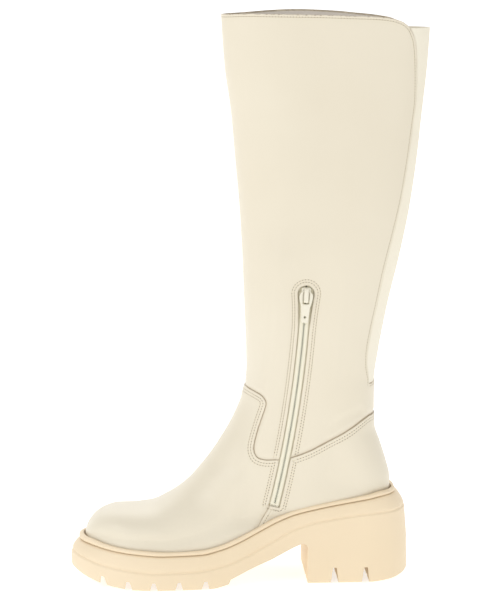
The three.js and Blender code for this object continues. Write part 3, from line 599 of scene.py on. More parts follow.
def _fill_grain(tree: bpy.types.NodeTree) -> None:
    """Pebbled hide or moulded rubber: cells of one pitch, with finer noise over them."""
    t, given, out = _opened(tree, {"Cells a metre": 900.0, "Noise share": 0.4}, ["Height", "Mask"])
    where = t.add("TexCoord").outputs["Object"]
    cells = t.add("TexVoronoi", {"Vector": where, "Scale": given.outputs[0]}, feature="SMOOTH_F1")
    fine = t.math("MULTIPLY", given.outputs[0], 2.6)
    noise = t.add("TexNoise", {"Vector": where, "Scale": fine, "Detail": 2.0})
    part = t.math("MULTIPLY", noise.outputs[0], given.outputs[1])
    tree.links.new(t.math("ADD", cells.outputs["Distance"], part), out.inputs[0])
    tree.links.new(noise.outputs[0], out.inputs[1])


def _fill_weave(tree: bpy.types.NodeTree) -> None:
    """Threads that cross: one set along the cloth and one over it, by turns above each other."""
    t, given, out = _opened(tree, {"Threads a mm": 1.6, "Length share": 1.0}, ["Height", "Mask"])
    cloth = t.add("Attribute", attribute_name="surface").outputs["Vector"]
    parts = t.add("SeparateXYZ", {0: cloth}).outputs
    turn = t.math("MULTIPLY", given.outputs[0], 2 * math.pi)
    over = t.math("SINE", t.math("MULTIPLY", parts[0], turn))
    long_turn = t.math("MULTIPLY", turn, given.outputs[1])
    along = t.math("SINE", t.math("MULTIPLY", parts[1], long_turn))
    both = t.math("MULTIPLY", over, along)
    tree.links.new(t.math("MULTIPLY_ADD", both, 0.5), out.inputs[0])
    tree.links.new(t.math("ABSOLUTE", over), out.inputs[1])


def _fill_tone(tree: bpy.types.NodeTree) -> None:
    """Slow change of tone over the surface, from 0 to 1."""
    t, given, out = _opened(tree, {"Patches a metre": 9.0}, ["Share"])
    where = t.add("TexCoord").outputs["Object"]
    noise = t.add("TexNoise", {"Vector": where, "Scale": given.outputs[0], "Detail": 3.0})
    spread = t.add("MapRange", {0: noise.outputs[0], 1: 0.3, 2: 0.7})
    tree.links.new(spread.outputs[0], out.inputs[0])


def _fill_edge_paint_and_shade(tree: bpy.types.NodeTree) -> None:
    """How dark a place is painted, read from the mark: edge paint, painted shade at seams, needle
    holes and the welt, and dark bar-tack thread; 1 at full strength, 0 on the plain face.
    """
    t, given, out = _opened(tree, {"Spread": 0.0}, ["Mask"])
    cloth = t.add("Attribute", attribute_name="surface").outputs["Vector"]
    mark = t.add("SeparateXYZ", {0: cloth}).outputs[2]
    soft = t.add("MapRange", {0: mark, 1: given.outputs[0], 2: 1.0})
    tree.links.new(soft.outputs[0], out.inputs[0])


FILLERS: dict[Effect, Callable[[bpy.types.NodeTree], None]] = {
    Effect.GRAIN: _fill_grain,
    Effect.WEAVE: _fill_weave,
    Effect.TONE: _fill_tone,
    Effect.EDGE_PAINT_AND_SHADE: _fill_edge_paint_and_shade,
}


def shared_group(effect: Effect) -> bpy.types.NodeTree:
    """The node group of an effect, made the first time that it is asked for."""
    found = bpy.data.node_groups.get(effect.value)
    if found is None:
        found = bpy.data.node_groups.new(effect.value, "ShaderNodeTree")
        FILLERS[effect](found)
    return found


Colour = tuple[float, float, float]


@dataclass(frozen=True)
class Finish:
    """A procedural finish: two tones, a relief and a sheen."""

    name: str
    light: Colour
    dark: Colour
    roughness: float
    rough_dark: float
    relief: Effect = Effect.GRAIN
    relief_inputs: tuple[tuple[str, float], ...] = ()
    relief_height: float = 0.05
    relief_strength: float = 0.5
    relief_dark: float = 0.0
    patches: float = 9.0
    metallic: float = 0.0
    sheen: float = 0.0
    coat: float = 0.0
    coat_roughness: float = 0.3
    # colour that the mark lays on: edge paint, and painted shade at seams, needle holes and the
    # welt
    edge: Colour | None = None

    def build(self) -> bpy.types.Material:
        """Makes the material, or gives back the one made before."""
        found = bpy.data.materials.get(self.name)
        if found is not None:
            return found
        made = bpy.data.materials.new(self.name)
        made.use_nodes = True
        made.diffuse_color = (*self.light, 1.0)
        t = Tree(made.node_tree)
        shader = made.node_tree.nodes["Principled BSDF"]
        tone = t.group(Effect.TONE, {"Patches a metre": self.patches}).outputs[0]
        relief = t.group(self.relief, dict(self.relief_inputs)).outputs
        shown = t.blend(tone, (*self.light, 1), (*self.dark, 1))
        if self.relief_dark:
            share = t.math("MULTIPLY", relief["Mask"], self.relief_dark)
            shown = t.blend(share, shown, (*self.dark, 1))
        # edge paint and painted shade, where the mark asks for it
        if self.edge:
            shown = t.blend(t.group(Effect.EDGE_PAINT_AND_SHADE, {}).outputs[0], shown, (*self.edge, 1))
        rough = t.add("MapRange", {0: tone, 3: self.roughness, 4: self.rough_dark}).outputs[0]
        bump = t.add("Bump", {
            "Height": relief["Height"], "Strength": self.relief_strength,
            "Distance": self.relief_height * MM}).outputs[0]
        for name, output in (("Base Color", shown), ("Roughness", rough), ("Normal", bump)):
            made.node_tree.links.new(output, shader.inputs[name])
        for name, value in (
            ("Metallic", self.metallic), ("Sheen Weight", self.sheen),
            ("Coat Weight", self.coat), ("Coat Roughness", self.coat_roughness),
        ):
            shader.inputs[name].default_value = value
        return made


def grain(cells: float, noise: float = 0.4) -> tuple[tuple[str, float], ...]:
    """Values for the grain group."""
    return (("Cells a metre", cells), ("Noise share", noise))


def weave(threads: float, length: float = 1.0) -> tuple[tuple[str, float], ...]:
    """Values for the weave group."""
    return (("Threads a mm", threads), ("Length share", length))


LEATHER = Finish(
    "cream_leather", (0.80, 0.735, 0.595), (0.77, 0.70, 0.555), 0.40, 0.48, Effect.GRAIN,
    grain(1300.0), 0.06, 0.35, patches=7.0, coat=0.08, coat_roughness=0.35,
    # edge: brown edge paint, with painted shade in the seam gaps
    edge=(0.33, 0.24, 0.14),
)
THREAD = Finish(
    "cream_thread", (0.76, 0.68, 0.50), (0.66, 0.57, 0.40), 0.6, 0.7, Effect.GRAIN,
    # edge: painted shade in the needle holes; also the darker bar-tack thread
    grain(3000.0), 0.04, 0.5, patches=200.0, sheen=0.2, edge=(0.16, 0.11, 0.06),
)
ELASTIC = Finish(
    "woven_elastic", (0.91, 0.86, 0.73), (0.87, 0.81, 0.66), 0.75, 0.85, Effect.WEAVE,
    weave(0.7, 1.5), 0.12, 0.6, relief_dark=0.25, sheen=0.3,
)
LINING = Finish(
    "textile_lining", (0.80, 0.745, 0.68), (0.72, 0.665, 0.60), 0.85, 0.95, Effect.WEAVE,
    weave(1.1), 0.08, 0.6, relief_dark=0.3, sheen=0.4,
)
RUBBER = Finish(
    "beige_rubber", (0.86, 0.72, 0.52), (0.83, 0.685, 0.475), 0.50, 0.60, Effect.GRAIN,
    # edge: painted shade in the groove under the welt bead and in the gap where it meets the
    # leather
    grain(700.0, 0.8), 0.05, 0.25, patches=6.0, edge=(0.36, 0.25, 0.13),
)
TAPE_CLOTH = Finish(
    "zip_tape_cloth", (0.80, 0.76, 0.60), (0.72, 0.67, 0.50), 0.75, 0.85, Effect.WEAVE,
    weave(1.6, 0.6), 0.08, 0.7, relief_dark=0.35, sheen=0.2,
)
RIDGE_CLOTH = Finish(
    "zip_ridge_cloth", (0.86, 0.82, 0.67), (0.81, 0.76, 0.60), 0.45, 0.55, Effect.WEAVE,
    weave(0.9, 0.9), 0.08, 0.5, relief_dark=0.2, coat=0.1,
)
COIL_NYLON = Finish(
    "zip_coil_nylon", (0.84, 0.83, 0.69), (0.78, 0.77, 0.62), 0.35, 0.45, Effect.GRAIN,
    grain(2000.0), 0.02, 0.3, patches=60.0,
)
ENAMEL = Finish(
    "cream_enamel", (0.83, 0.79, 0.66), (0.79, 0.74, 0.60), 0.20, 0.28, Effect.GRAIN,
    grain(900.0, 0.9), 0.03, 0.15, patches=60.0, coat=0.4, coat_roughness=0.12,
)
STEEL = Finish(
    "plain_steel", (0.52, 0.53, 0.55), (0.44, 0.45, 0.47), 0.32, 0.42, Effect.GRAIN,
    grain(2500.0), 0.02, 0.3, patches=40.0, metallic=1.0,
)
BOARD = Finish(
    "fibre_board", (0.46, 0.34, 0.19), (0.38, 0.27, 0.15), 0.85, 0.92, Effect.GRAIN,
    grain(1500.0, 1.0), 0.1, 0.6, relief_dark=0.5, patches=40.0,
)
CORE = Finish(
    "core_plastic", (0.62, 0.57, 0.47), (0.56, 0.51, 0.42), 0.5, 0.6, Effect.GRAIN,
    grain(800.0), 0.05, 0.3,
)
FOAM = Finish(
    "cork_filler", (0.22, 0.17, 0.12), (0.14, 0.11, 0.08), 0.9, 0.95, Effect.GRAIN,
    grain(500.0, 1.0), 0.4, 0.8, relief_dark=0.6, patches=120.0,
)
SOCK = Finish(
    "footbed_textile", (0.52, 0.46, 0.38), (0.44, 0.39, 0.32), 0.85, 0.92, Effect.WEAVE,
    weave(0.8), 0.1, 0.6, relief_dark=0.3, sheen=0.3,
)


# ---- Upper ----------------------------------------------------------------------------------
class Lap(Enum):
    """How a panel ends at a line."""

    OVER = "folded, and lying on the next panel"
    UNDER = "running on beneath the next panel"
    BUTT = "sewn edge to edge"
    FREE = "folded at an opening"


@dataclass
class Edge:
    """A line that a panel ends at.

    Attributes:
        line: Places along it.
        lap: How the panel ends there.
        rows: Distances of its stitch rows.
        dark: How dark the leather is painted at the line: dark edge paint, with painted shade in
            the seam gap.
    """

    line: Array
    lap: Lap
    rows: tuple[float, ...] = ()
    dark: float = 1.0


@dataclass
class Panel:
    """A trimmed area of the form, with finer points along its edges.

    Attributes:
        name: The piece's name.
        keep: Outlines that it lies in.
        cut: Outlines that are cut out of it.
        edges: The lines that it ends at.
        shown: Outlines of what stays in sight, if it runs on beneath others.
        pitch: Distance between points away from the edges.
        depth: How far its outer face lies under the form.
        thickness: Its thickness.
    """

    name: str
    keep: list[Array]
    cut: list[Array]
    edges: list[Edge]
    shown: list[Array]
    pitch: float = 2.9
    depth: float = 0.0
    thickness: float = 1.3

    FOLD = 0.5  # radius of a folded edge
    RISE = 0.3  # how far a panel stands up where it lies on another
    RISE_REACH = 9.0
    SINK = 1.02  # how far a panel runs down beneath another
    SINK_REACH = 3.6
    FINE = (0.0, 0.14, 0.32, 0.5, 1.0)  # distances of the closer points beside an edge
    TUCKED = (0.0, 0.8, 2.0, 3.6)  # the same, where the panel runs on beneath another
    BESIDE_ROW = 0.45  # from a row of stitches to the points on each side of it
    CLEAR = 0.25  # least distance of those points from another edge
    LINE_PITCH = 1.5
    OUTLINE_PITCH = 1.8
    GROOVE = 0.1  # how deep a row of stitches lies
    GROOVE_WIDTH = 0.4
    ROW_WIDTH = 0.5
    INNER_DARKENING = 0.3  # how dark the inner face is
    EDGE_PAINT_AND_SHADE_REACH = 0.36  # how far the painted darkening runs in from a seam: edge paint with painted shade in the seam gap
    ROW_GROOVE_SHADE = 0.06  # painted shade along the groove of a row of stitches

    def inside(self, places: Array) -> Array:
        """Which places belong to the panel."""
        hit = np.ones(len(places), bool)
        for outline in self.keep:
            hit &= inside_polygon(places, outline)
        for outline in self.cut:
            hit &= ~inside_polygon(places, outline)
        return hit

    def distances(self, places: Array, edge: Edge) -> Array:
        """Distance of each place from an edge, over the surface."""
        line = FORM.raised(respaced(edge.line, 0.12), 0.0)
        tree = kdtree.KDTree(len(line))
        for i, point in enumerate(line):
            tree.insert(point, i)
        tree.balance()
        points = FORM.raised(places, 0.0)
        return np.array([tree.find(p)[2] for p in points.tolist()])

    def heights(self, places: Array) -> tuple[Array, Array, Array]:
        """Height of the outer and inner face at each place, and how dark it is painted: edge paint
        with painted shade at seams, folds and stitch grooves.
        """
        base, fold = np.zeros(len(places)), np.zeros(len(places))
        edge_paint_and_shade = np.zeros(len(places))
        shown = np.ones(len(places), bool)
        for outline in self.shown:
            shown &= inside_polygon(places, outline)
        for edge in self.edges:
            d = self.distances(places, edge)
            if edge.lap is Lap.UNDER:
                signed = np.where(shown, d, -d)
                base = np.minimum(base, -self.SINK * (1 - ease(signed / self.SINK_REACH)))
                # painted shade where this panel runs on beneath the next one's edge
                edge_paint_and_shade = np.maximum(edge_paint_and_shade, 1 - signed / self.EDGE_PAINT_AND_SHADE_REACH)
                continue
            if edge.lap is Lap.OVER:
                base = base + self.RISE * (1 - ease(d / self.RISE_REACH))
            share = np.clip(1 - d / self.FOLD, 0, 1)
            fold = np.maximum(fold, self.FOLD * (1 - np.sqrt(1 - share**2)))
            # edge paint, with painted shade in the gap at the fold
            edge_paint_and_shade = np.maximum(edge_paint_and_shade, edge.dark * (1 - d / self.EDGE_PAINT_AND_SHADE_REACH))
            for row in edge.rows:
                fold = fold + self.GROOVE * np.exp(-(((d - row) / self.GROOVE_WIDTH) ** 2))
                # painted shade in the stitch groove
                edge_paint_and_shade = np.maximum(edge_paint_and_shade, self.ROW_GROOVE_SHADE * (1 - np.abs(d - row) / self.ROW_WIDTH))
        relief = crumple(FORM.raised(places, 0.0)) if self.depth == 0 else 0.0
        top = base + relief - self.depth
        return top - fold, top - self.thickness, np.clip(edge_paint_and_shade, 0, 1)

    def places(self) -> tuple[Array, list[tuple[int, int]]]:
        """Points for the triangles, and the lines that they keep to."""
        corners = np.concatenate(self.keep)
        low = np.maximum(corners.min(0), [-FORM.half_girth, 0])
        high = np.minimum(corners.max(0), [FORM.half_girth, FORM.fine_v[-1]])
        rows = np.arange(low[1], high[1], self.pitch * 0.87)
        across = np.arange(low[0], high[0], self.pitch)
        u, v = np.meshgrid(across, rows)
        u = u + (np.arange(len(rows)) % 2)[:, None] * self.pitch / 2
        grid = np.stack([u.ravel(), v.ravel()], axis=1)
        grid = grid[self.inside(grid)]
        found, bars = [], []
        nearest = np.full(len(grid), 99.0)
        for edge in self.edges:
            reach = self.TUCKED if edge.lap is Lap.UNDER else self.FINE
            beside = (-self.BESIDE_ROW, 0.0, self.BESIDE_ROW)
            fine = sorted({*reach, *(row + step for row in edge.rows for step in beside)})
            nearest = np.minimum(nearest, self.distances(grid, edge) / (fine[-1] + 1.2))
            line = respaced(edge.line, self.LINE_PITCH)
            for offset in fine[1:]:
                for turn in (-1, 1):
                    moved = FORM.shifted(line, turn * offset)
                    moved = moved[self.inside(moved)]
                    if len(moved):
                        moved = moved[self.distances(moved, edge) > offset * 0.93]
                    found.append((moved, edge, offset))
        kept = [grid[nearest > 1]]
        for moved, own, offset in found:
            for other in self.edges:
                if other is not own and len(moved):
                    moved = moved[self.distances(moved, other) > self.CLEAR]
            kept.append(moved)
        points = np.concatenate(kept)
        for corners in [*self.keep, *self.cut]:
            outline = densified(corners, self.OUTLINE_PITCH)
            start, count = len(points), len(outline)
            points = np.concatenate([points, outline])
            bars += [(start + i, start + (i + 1) % count) for i in range(count)]
        return points, bars

    def triangles(self) -> tuple[Array, Array]:
        """The panel's places and triangles."""
        points, bars = self.places()
        found = delaunay_2d_cdt([Vector(p) for p in points.tolist()], bars, [], 0, 1e-5, False)
        places = np.array([tuple(p) for p in found[0]])
        faces = np.array(found[2])
        middle = places[faces].mean(axis=1)
        a, b, c = (places[faces[:, i]] for i in range(3))
        area = (b[:, 0] - a[:, 0]) * (c[:, 1] - a[:, 1]) - (b[:, 1] - a[:, 1]) * (c[:, 0] - a[:, 0])
        good = self.inside(middle) & (np.abs(area) > 1e-7)
        used, faces = np.unique(faces[good], return_inverse=True)
        faces = faces.reshape(-1, 3)
        turned = area[good] < 0
        faces[turned] = faces[turned][:, ::-1]
        return places[used], faces

    def build(self, finish: Finish, slot: str, darkened: bool = True) -> bpy.types.Object:
        """Makes the panel as a closed shell.

        Args:
            finish: What it is made of.
            slot: The record's material slot; not used.
            darkened: Whether its edges, stitch rows and inner face are darker: edge paint, with
                painted shade at the seams and in the stitch grooves.

        Returns:
            The piece, which stands for the node of the same name.
        """
        places, faces = self.triangles()
        outer, inner, edge_paint_and_shade = self.heights(places)
        points = np.concatenate([FORM.raised(places, outer), FORM.raised(places, inner)])
        count = len(places)
        pairs = np.concatenate([faces[:, [0, 1]], faces[:, [1, 2]], faces[:, [2, 0]]])
        keys = {tuple(p) for p in pairs.tolist()}
        rim = [(a, b) for a, b in keys if (b, a) not in keys]
        walls = [(b, a, a + count, b + count) for a, b in rim]
        every = [*faces.tolist(), *(faces[:, ::-1] + count).tolist(), *walls]
        # painted darkness for each corner: edge paint and painted shade at the edges, and a darker
        # inner face
        dark = np.concatenate([edge_paint_and_shade, np.full(count, self.INNER_DARKENING)]) * float(darkened)
        marks = np.column_stack([np.concatenate([places, places]), dark])
        return make_piece(self.name, points, every, finish.build(), [self.name],
                          marks=marks)


@dataclass(frozen=True)
class Crease:
    """A soft fold in the leather: a line in the side view, its depth and its width."""

    line: Line
    depth: float
    width: float


CREASES = (
    Crease(((52, 120), (64, 130), (76, 138), (90, 143)), 1.0, 3.2),
    Crease(((-9, 148), (4, 152), (20, 160)), 0.35, 5.0),
    Crease(((-5, 176), (18, 184), (46, 186)), 0.30, 8.0),
    Crease(((104, 168), (84, 172), (62, 168)), 0.30, 7.0),
)


def crumple(points: Array) -> Array:
    """How far the leather stands off the form at each point: slow waves and soft creases."""
    x, y, z = points.T
    slow = np.sin(z / 31 + np.sin(x / 43)) * np.sin(x / 27 + y / 38 + 1.3)
    made = 0.22 * slow * ease((z - 70) / 60)
    flat = np.where(y < 0, WALL.flattened(x, z), 0.0)
    made = made * (1 - flat)
    for crease in CREASES:
        line = path(crease.line, 2.0)
        gap = np.min(np.hypot(x[:, None] - line[:, 0], z[:, None] - line[:, 1]), axis=1)
        near = np.exp(-((gap / crease.width) ** 2))
        ridge = np.exp(-(((gap - 2 * crease.width) / crease.width) ** 2))
        made = made - crease.depth * (near - 0.3 * ridge) * (1 - ease(flat * 2))
    return made


@dataclass
class Upper:
    """The leather panels, the elastic gore and the linings, with the seams between them."""

    gore_edge: Line = (
        (105, 467.3), (118, 465), (126, 461), (131, 454), (133.9, 443), (135, 425), (134.9, 400),
        (132, 376), (128, 348), (122.6, 317), (115.8, 288), (109.4, 262), (104, 235), (99.2, 212),
        (96.3, 195), (96.1, 181), (98.2, 170),
    )
    rims: ClassVar[dict[int, Line]] = {
        MEDIAL: ((-40, 468.5), (-24, 469), (-5, 470), (15, 470), (50, 469.5), (80, 468.5)),
        LATERAL: ((-40, 468.5), (-24, 469), (-3, 469.8), (18, 471.2), (42, 471.8), (70, 470.6),
                  (88, 469)),
    }
    gore_top: float = 458.0
    gore_foot: float = 165.0
    gore_over: float = 3.0  # how far it runs on beneath the leather
    gore_depth: float = 0.85
    gore_inner: float = 1.9
    rib_height: float = 0.13
    rib_pitch: float = 2.1
    junction: tuple[float, float] = (28, 105.3)
    quarter_seam: Line = (
        (125, 139), (103.5, 138.5), (95, 137), (79.4, 128), (61.8, 119), (44.3, 110.7), junction)
    vamp_seam: Line = (
        junction, (17, 104.9), (9.5, 105.2), (3.6, 108), (1.3, 114), (2.2, 122), (6.1, 136),
        (10.4, 149), (11, 154), (7.2, 159), (-1, 161.5), (-8, 162.2), (-30, 163))
    side_seam: Line = (
        junction, (25.8, 96), (20.5, 79), (13.8, 64), (7.5, 53), (0.5, 40), (-8, 10))
    slot_half: float = 4.6
    slot_arch: float = 6.75
    slot_taper: float = 34.0
    window_half: float = 8.6
    window_ends: tuple[float, float] = (-7.6, 192.3)
    seam_rows: tuple[float, ...] = (2.7, 5.0)
    edge_rows: tuple[float, ...] = (2.2,)
    zip_rows: tuple[float, ...] = (3.0, 5.0)
    tuck: float = 2.2  # how far a panel runs on beneath the next
    half_gap: float = 0.15
    lining_gap: float = 1.4  # from the shaft's rim to the lining's
    lining_split: float = 150.0
    first_row: float = 13.0  # sections between which the upper meets the welt
    last_row: float = 27.93

    def __post_init__(self) -> None:
        """Turns the seams into lines of places on each side of the form."""
        self.rim: dict[int, Array] = {}
        self.quarter: dict[int, Array] = {}
        self.vamp: dict[int, Array] = {}
        self.side: dict[int, Array] = {}
        for s in BOTH:
            edge = path([*self.rims[s], *self.gore_edge])
            self.rim[s] = self.from_front(FORM.locate(edge, s), s)
            self.quarter[s] = self.to_back(FORM.locate(path(self.quarter_seam), s)[::-1], s)[::-1]
            self.vamp[s] = self.from_front(FORM.locate(path(self.vamp_seam), s)[::-1], s)[::-1]
            self.side[s] = FORM.locate(path(self.side_seam), s)
        self.opening = self.opening_line()
        self.welt_lines = {s: self.level_line(s) for s in BOTH}
        self.above_welt = np.concatenate([
            self.welt_lines[MEDIAL], self.welt_lines[LATERAL][::-1],
            [[self.beyond, self.welt_lines[LATERAL][0, 1]], [self.beyond, -30],
             [-self.beyond, -30], [-self.beyond, self.welt_lines[MEDIAL][0, 1]]],
        ])

    @property
    def beyond(self) -> float:
        """A u past the back seam, where outlines close."""
        return FORM.half_girth + 9

    def seam_start(self, side: int) -> float:
        """The v at which the back seam starts, under the gore."""
        return FORM.locate(np.array([[200.0, self.gore_foot]]), side)[0, 1]

    def rim_at(self, side: int, v: Array) -> Array:
        """The u of one side's rim at each v."""
        line = self.rim[side][np.argsort(self.rim[side][:, 1])]
        return np.interp(v, line[:, 1], line[:, 0])

    def from_front(self, line: Array, side: int) -> Array:
        """The line, started exactly at the front seam.

        Args:
            line: Places that may begin in front of the form.
            side: Its side.

        Returns:
            The places from the front on.
        """
        on = line[np.abs(line[:, 0]) > self.half_gap]
        start = np.array([[side * self.half_gap, on[0, 1]]])
        return np.concatenate([start, on])

    def to_back(self, line: Array, side: int) -> Array:
        """The line, ended exactly at the back seam."""
        limit = FORM.half_girth - self.half_gap
        on = line[np.abs(line[:, 0]) < limit]
        return np.concatenate([on, [[side * limit, on[-1, 1]]]])

    def opening_line(self) -> Array:
        """The zip opening: a round arch that tapers into a slot."""
        turn = np.linspace(0, math.pi, 17)
        cap = np.stack([
            self.slot_arch * (1 - np.sin(turn)), -self.slot_arch * np.cos(turn)], axis=1)
        s = np.linspace(self.slot_arch, WALL.length, 120)[1:]
        share = np.sqrt(ease((s - self.slot_arch) / self.slot_taper))
        half = mix(self.slot_arch, self.slot_half, share)
        right, left = np.stack([s, half], axis=1), np.stack([s, -half], axis=1)
        outline = np.concatenate([cap, right, left[::-1]])
        return FORM.locate(WALL.side_view(outline[:, 0], outline[:, 1]), MEDIAL)

    def level_line(self, side: int, below: float = 3.0) -> Array:
        """Where the form passes behind the welt, from the heel to the toe.

        Args:
            side: Which side of the form.
            below: Distance under the welt's top.

        Returns:
            Places along it.
        """
        k = np.linspace(self.first_row, self.last_row, 220)
        v = FORM.depth_at(k)
        low, high = np.zeros(len(k)), np.full(len(k), FORM.half_girth)
        for _ in range(30):
            u = (low + high) / 2
            p = FORM.point(side * u, v)
            above = p[:, 2] > Sole.welt_top(p[:, 0]) - below
            low, high = np.where(above, u, low), np.where(above, high, u)
        line = np.stack([side * low, v], axis=1)
        start = np.argmax(low < FORM.half_girth - 0.01)
        line = line[start:]
        back = FORM.depth_at(mix(k[max(start - 1, 0)], k[start], 0.5))
        return np.concatenate([[[side * FORM.half_girth, back]], line])

    def shaft(self, side: int) -> Panel:
        """The panel that makes one side of the shaft."""
        limit = side * (FORM.half_girth - self.half_gap)
        foot = FORM.locate(np.array([[self.gore_edge[-1][0], self.gore_foot]]), side)
        back_v = self.seam_start(side)
        top = np.concatenate([self.rim[side], foot, [[limit, back_v]]])
        under = np.concatenate([self.quarter[side], self.vamp[side][1:]])
        shown = np.concatenate([top, under])
        lower = FORM.shifted(under, -side * self.tuck)
        lower[0, 0], lower[-1, 0] = limit, side * self.half_gap
        keep = np.concatenate([top, lower])
        foot_line = np.concatenate([foot, [[limit, back_v]]])
        edges = [
            Edge(np.concatenate([self.rim[side], foot]), Lap.FREE, self.edge_rows, 0.4),
            Edge(respaced(foot_line, 1.4), Lap.FREE, self.edge_rows, 0.5),
            Edge(under, Lap.UNDER),
            Edge(self.upright(side * self.half_gap, self.rim[side][0, 1], under[-1, 1]),
                 Lap.BUTT, (), 0.5),
            Edge(self.upright(limit, back_v, under[0, 1]), Lap.BUTT, (), 0.6),
        ]
        return self.with_opening(Panel("shaft_" + BOTH[side], [keep], [], edges, [shown]), side)

    def upright(self, u: float, top: float, low: float) -> Array:
        """A line straight down the form at one u."""
        return respaced(np.array([[u, top], [u, low]]), 1.4)

    def with_opening(self, panel: Panel, side: int) -> Panel:
        """The panel with the zip's opening cut out of it, if it lies on the inner side."""
        if side == MEDIAL:
            panel.cut.append(self.opening)
            closed = np.concatenate([self.opening, self.opening[:1]])
            # a faint painted shade along the opening's folded edge
            panel.edges.append(Edge(closed, Lap.FREE, self.zip_rows, 0.15))
        return panel

    def quarter_panel(self, side: int) -> Panel:
        """The panel round one side of the heel."""
        limit = side * (FORM.half_girth - self.half_gap)
        end = FORM.fine_v[-1]
        outline = np.concatenate([self.quarter[side], self.side[side][1:], [[limit, end]]])
        edges = [
            Edge(self.quarter[side], Lap.OVER, self.seam_rows),
            Edge(self.side[side], Lap.OVER, self.seam_rows, 0.3),
            Edge(self.upright(limit, self.quarter[side][0, 1], end), Lap.BUTT, (), 0.6),
        ]
        panel = Panel("quarter_" + BOTH[side], [outline, self.above_welt], [], edges, [outline])
        return self.with_opening(panel, side)

    def vamp_panel(self) -> Panel:
        """The panel over the instep and toe, from one side seam to the other."""
        end = FORM.fine_v[-1]
        ends = [[self.beyond, end], [-self.beyond, end]]
        seam = np.concatenate([self.vamp[MEDIAL], self.vamp[LATERAL][::-1]])
        shown = np.concatenate([
            seam, self.side[LATERAL][1:], ends, self.side[MEDIAL][::-1][:-1]])
        tucked = {s: FORM.shifted(self.side[s], -s * self.tuck) for s in BOTH}
        keep = np.concatenate([seam, tucked[LATERAL][1:], ends, tucked[MEDIAL][::-1][:-1]])
        edges = [
            Edge(seam, Lap.OVER, self.seam_rows),
            Edge(self.side[LATERAL], Lap.UNDER),
            Edge(self.side[MEDIAL], Lap.UNDER),
        ]
        panel = Panel("vamp", [keep, self.above_welt], [], edges, [shown])
        return self.with_opening(panel, MEDIAL)

    def linings(self) -> list[Panel]:
        """The shaft lining, which stops at the gore, and the foot lining under it."""
        split, rims = {}, {}
        for s in BOTH:
            level = np.array([[x, self.lining_split] for x in np.linspace(-20, 120, 90)])
            line = FORM.locate(level, s)
            split[s] = line[(np.abs(line[:, 0]) > 0.01)]
            rims[s] = FORM.shifted(self.rim[s], s * self.lining_gap)
            rims[s][0, 0] = 0.0
        split_line = np.concatenate([split[LATERAL][::-1], split[MEDIAL]])
        outer, back_v = self.beyond, self.seam_start(LATERAL)
        shaft = np.concatenate([
            rims[MEDIAL], [[rims[MEDIAL][-1, 0], back_v], [-outer, back_v]],
            [[-outer, split_line[-1, 1]]], split_line[::-1], [[outer, split_line[0, 1]]],
            [[outer, back_v], [rims[LATERAL][-1, 0], back_v]], rims[LATERAL][::-1],
        ])
        foot = np.concatenate([
            [[-outer, split_line[-1, 1]]], split_line[::-1], [[outer, split_line[0, 1]]],
            [[outer, FORM.fine_v[-1] + 5], [-outer, FORM.fine_v[-1] + 5]],
        ])
        rim_edges = [Edge(rims[s], Lap.FREE, (1.8,)) for s in BOTH]
        window = self.window()
        return [
            Panel("lining_shaft", [shaft], [window], rim_edges, [], 4.0, 2.2, 0.8),
            Panel("lining_foot", [foot, self.above_welt], [window], [], [], 3.6, 2.9, 0.8),
        ]

    def window(self) -> Array:
        """The hole that the linings leave behind the zip."""
        half, (top, low) = self.window_half, self.window_ends
        corners = [(top, -half), (top, half), (low, half), (low, -half), (top, -half)]
        closed = respaced(np.array(corners), 4.0)[:-1]
        return FORM.locate(WALL.side_view(closed[:, 0], closed[:, 1]), MEDIAL)

    def gore(self) -> bpy.types.Object:
        """The ribbed elastic that runs down the back between the shaft panels."""
        columns, rows = 170, 210
        top = FORM.locate(np.array([[129.0, self.gore_top]]), LATERAL)[0, 1]
        foot = FORM.locate(np.array([[100.0, self.gore_foot + 0.4]]), LATERAL)[0, 1]
        v = np.linspace(top, foot, rows)
        start, end = self.rim_at(LATERAL, v), 2 * FORM.half_girth + self.rim_at(MEDIAL, v)
        share = np.linspace(0, 1, columns)
        u = mix((start - self.gore_over)[:, None], (end + self.gore_over)[:, None], share)
        places = np.stack([u.ravel(), np.repeat(v, columns)], axis=1)
        aside = np.minimum(u - start[:, None], end[:, None] - u).ravel()
        rib = self.rib_height * np.sin(2 * math.pi * (u.ravel() / self.rib_pitch))
        tucked = 1 - ease((aside + 0.4) / 1.8)
        height = -self.gore_depth * (1 + tucked) + rib * ease(aside / 2)
        inner = FORM.raised(places, np.full(len(places), -self.gore_inner))
        points = np.concatenate([FORM.raised(places, height), inner])
        size = rows * columns
        faces = grid_faces(rows, columns)
        ring = [*range(columns)]
        ring += [r * columns + columns - 1 for r in range(1, rows)]
        ring += [*range(size - 2, size - columns - 1, -1)]
        ring += [r * columns for r in range(rows - 2, 0, -1)]
        walls = [(b, a, a + size, b + size) for a, b in zip(ring, ring[1:] + ring[:1])]
        every = [*faces[:, ::-1].tolist(), *(faces + size).tolist(), *[w[::-1] for w in walls]]
        marks = np.concatenate([np.column_stack([places, np.zeros(size)])] * 2)
        return make_piece("gore", points, every, ELASTIC.build(), ["gore"],
                          marks=marks)

    def build(self) -> None:
        """Makes every panel and its stitching."""
        panels = [self.shaft(s) for s in BOTH]
        panels += [self.quarter_panel(s) for s in BOTH] + [self.vamp_panel()]
        for panel in panels:
            panel.build(LEATHER, "upper_leather")
            Stitching(panel).build()
        for lining in self.linings():
            lining.build(LINING, "lining_textile", False)
        self.gore()


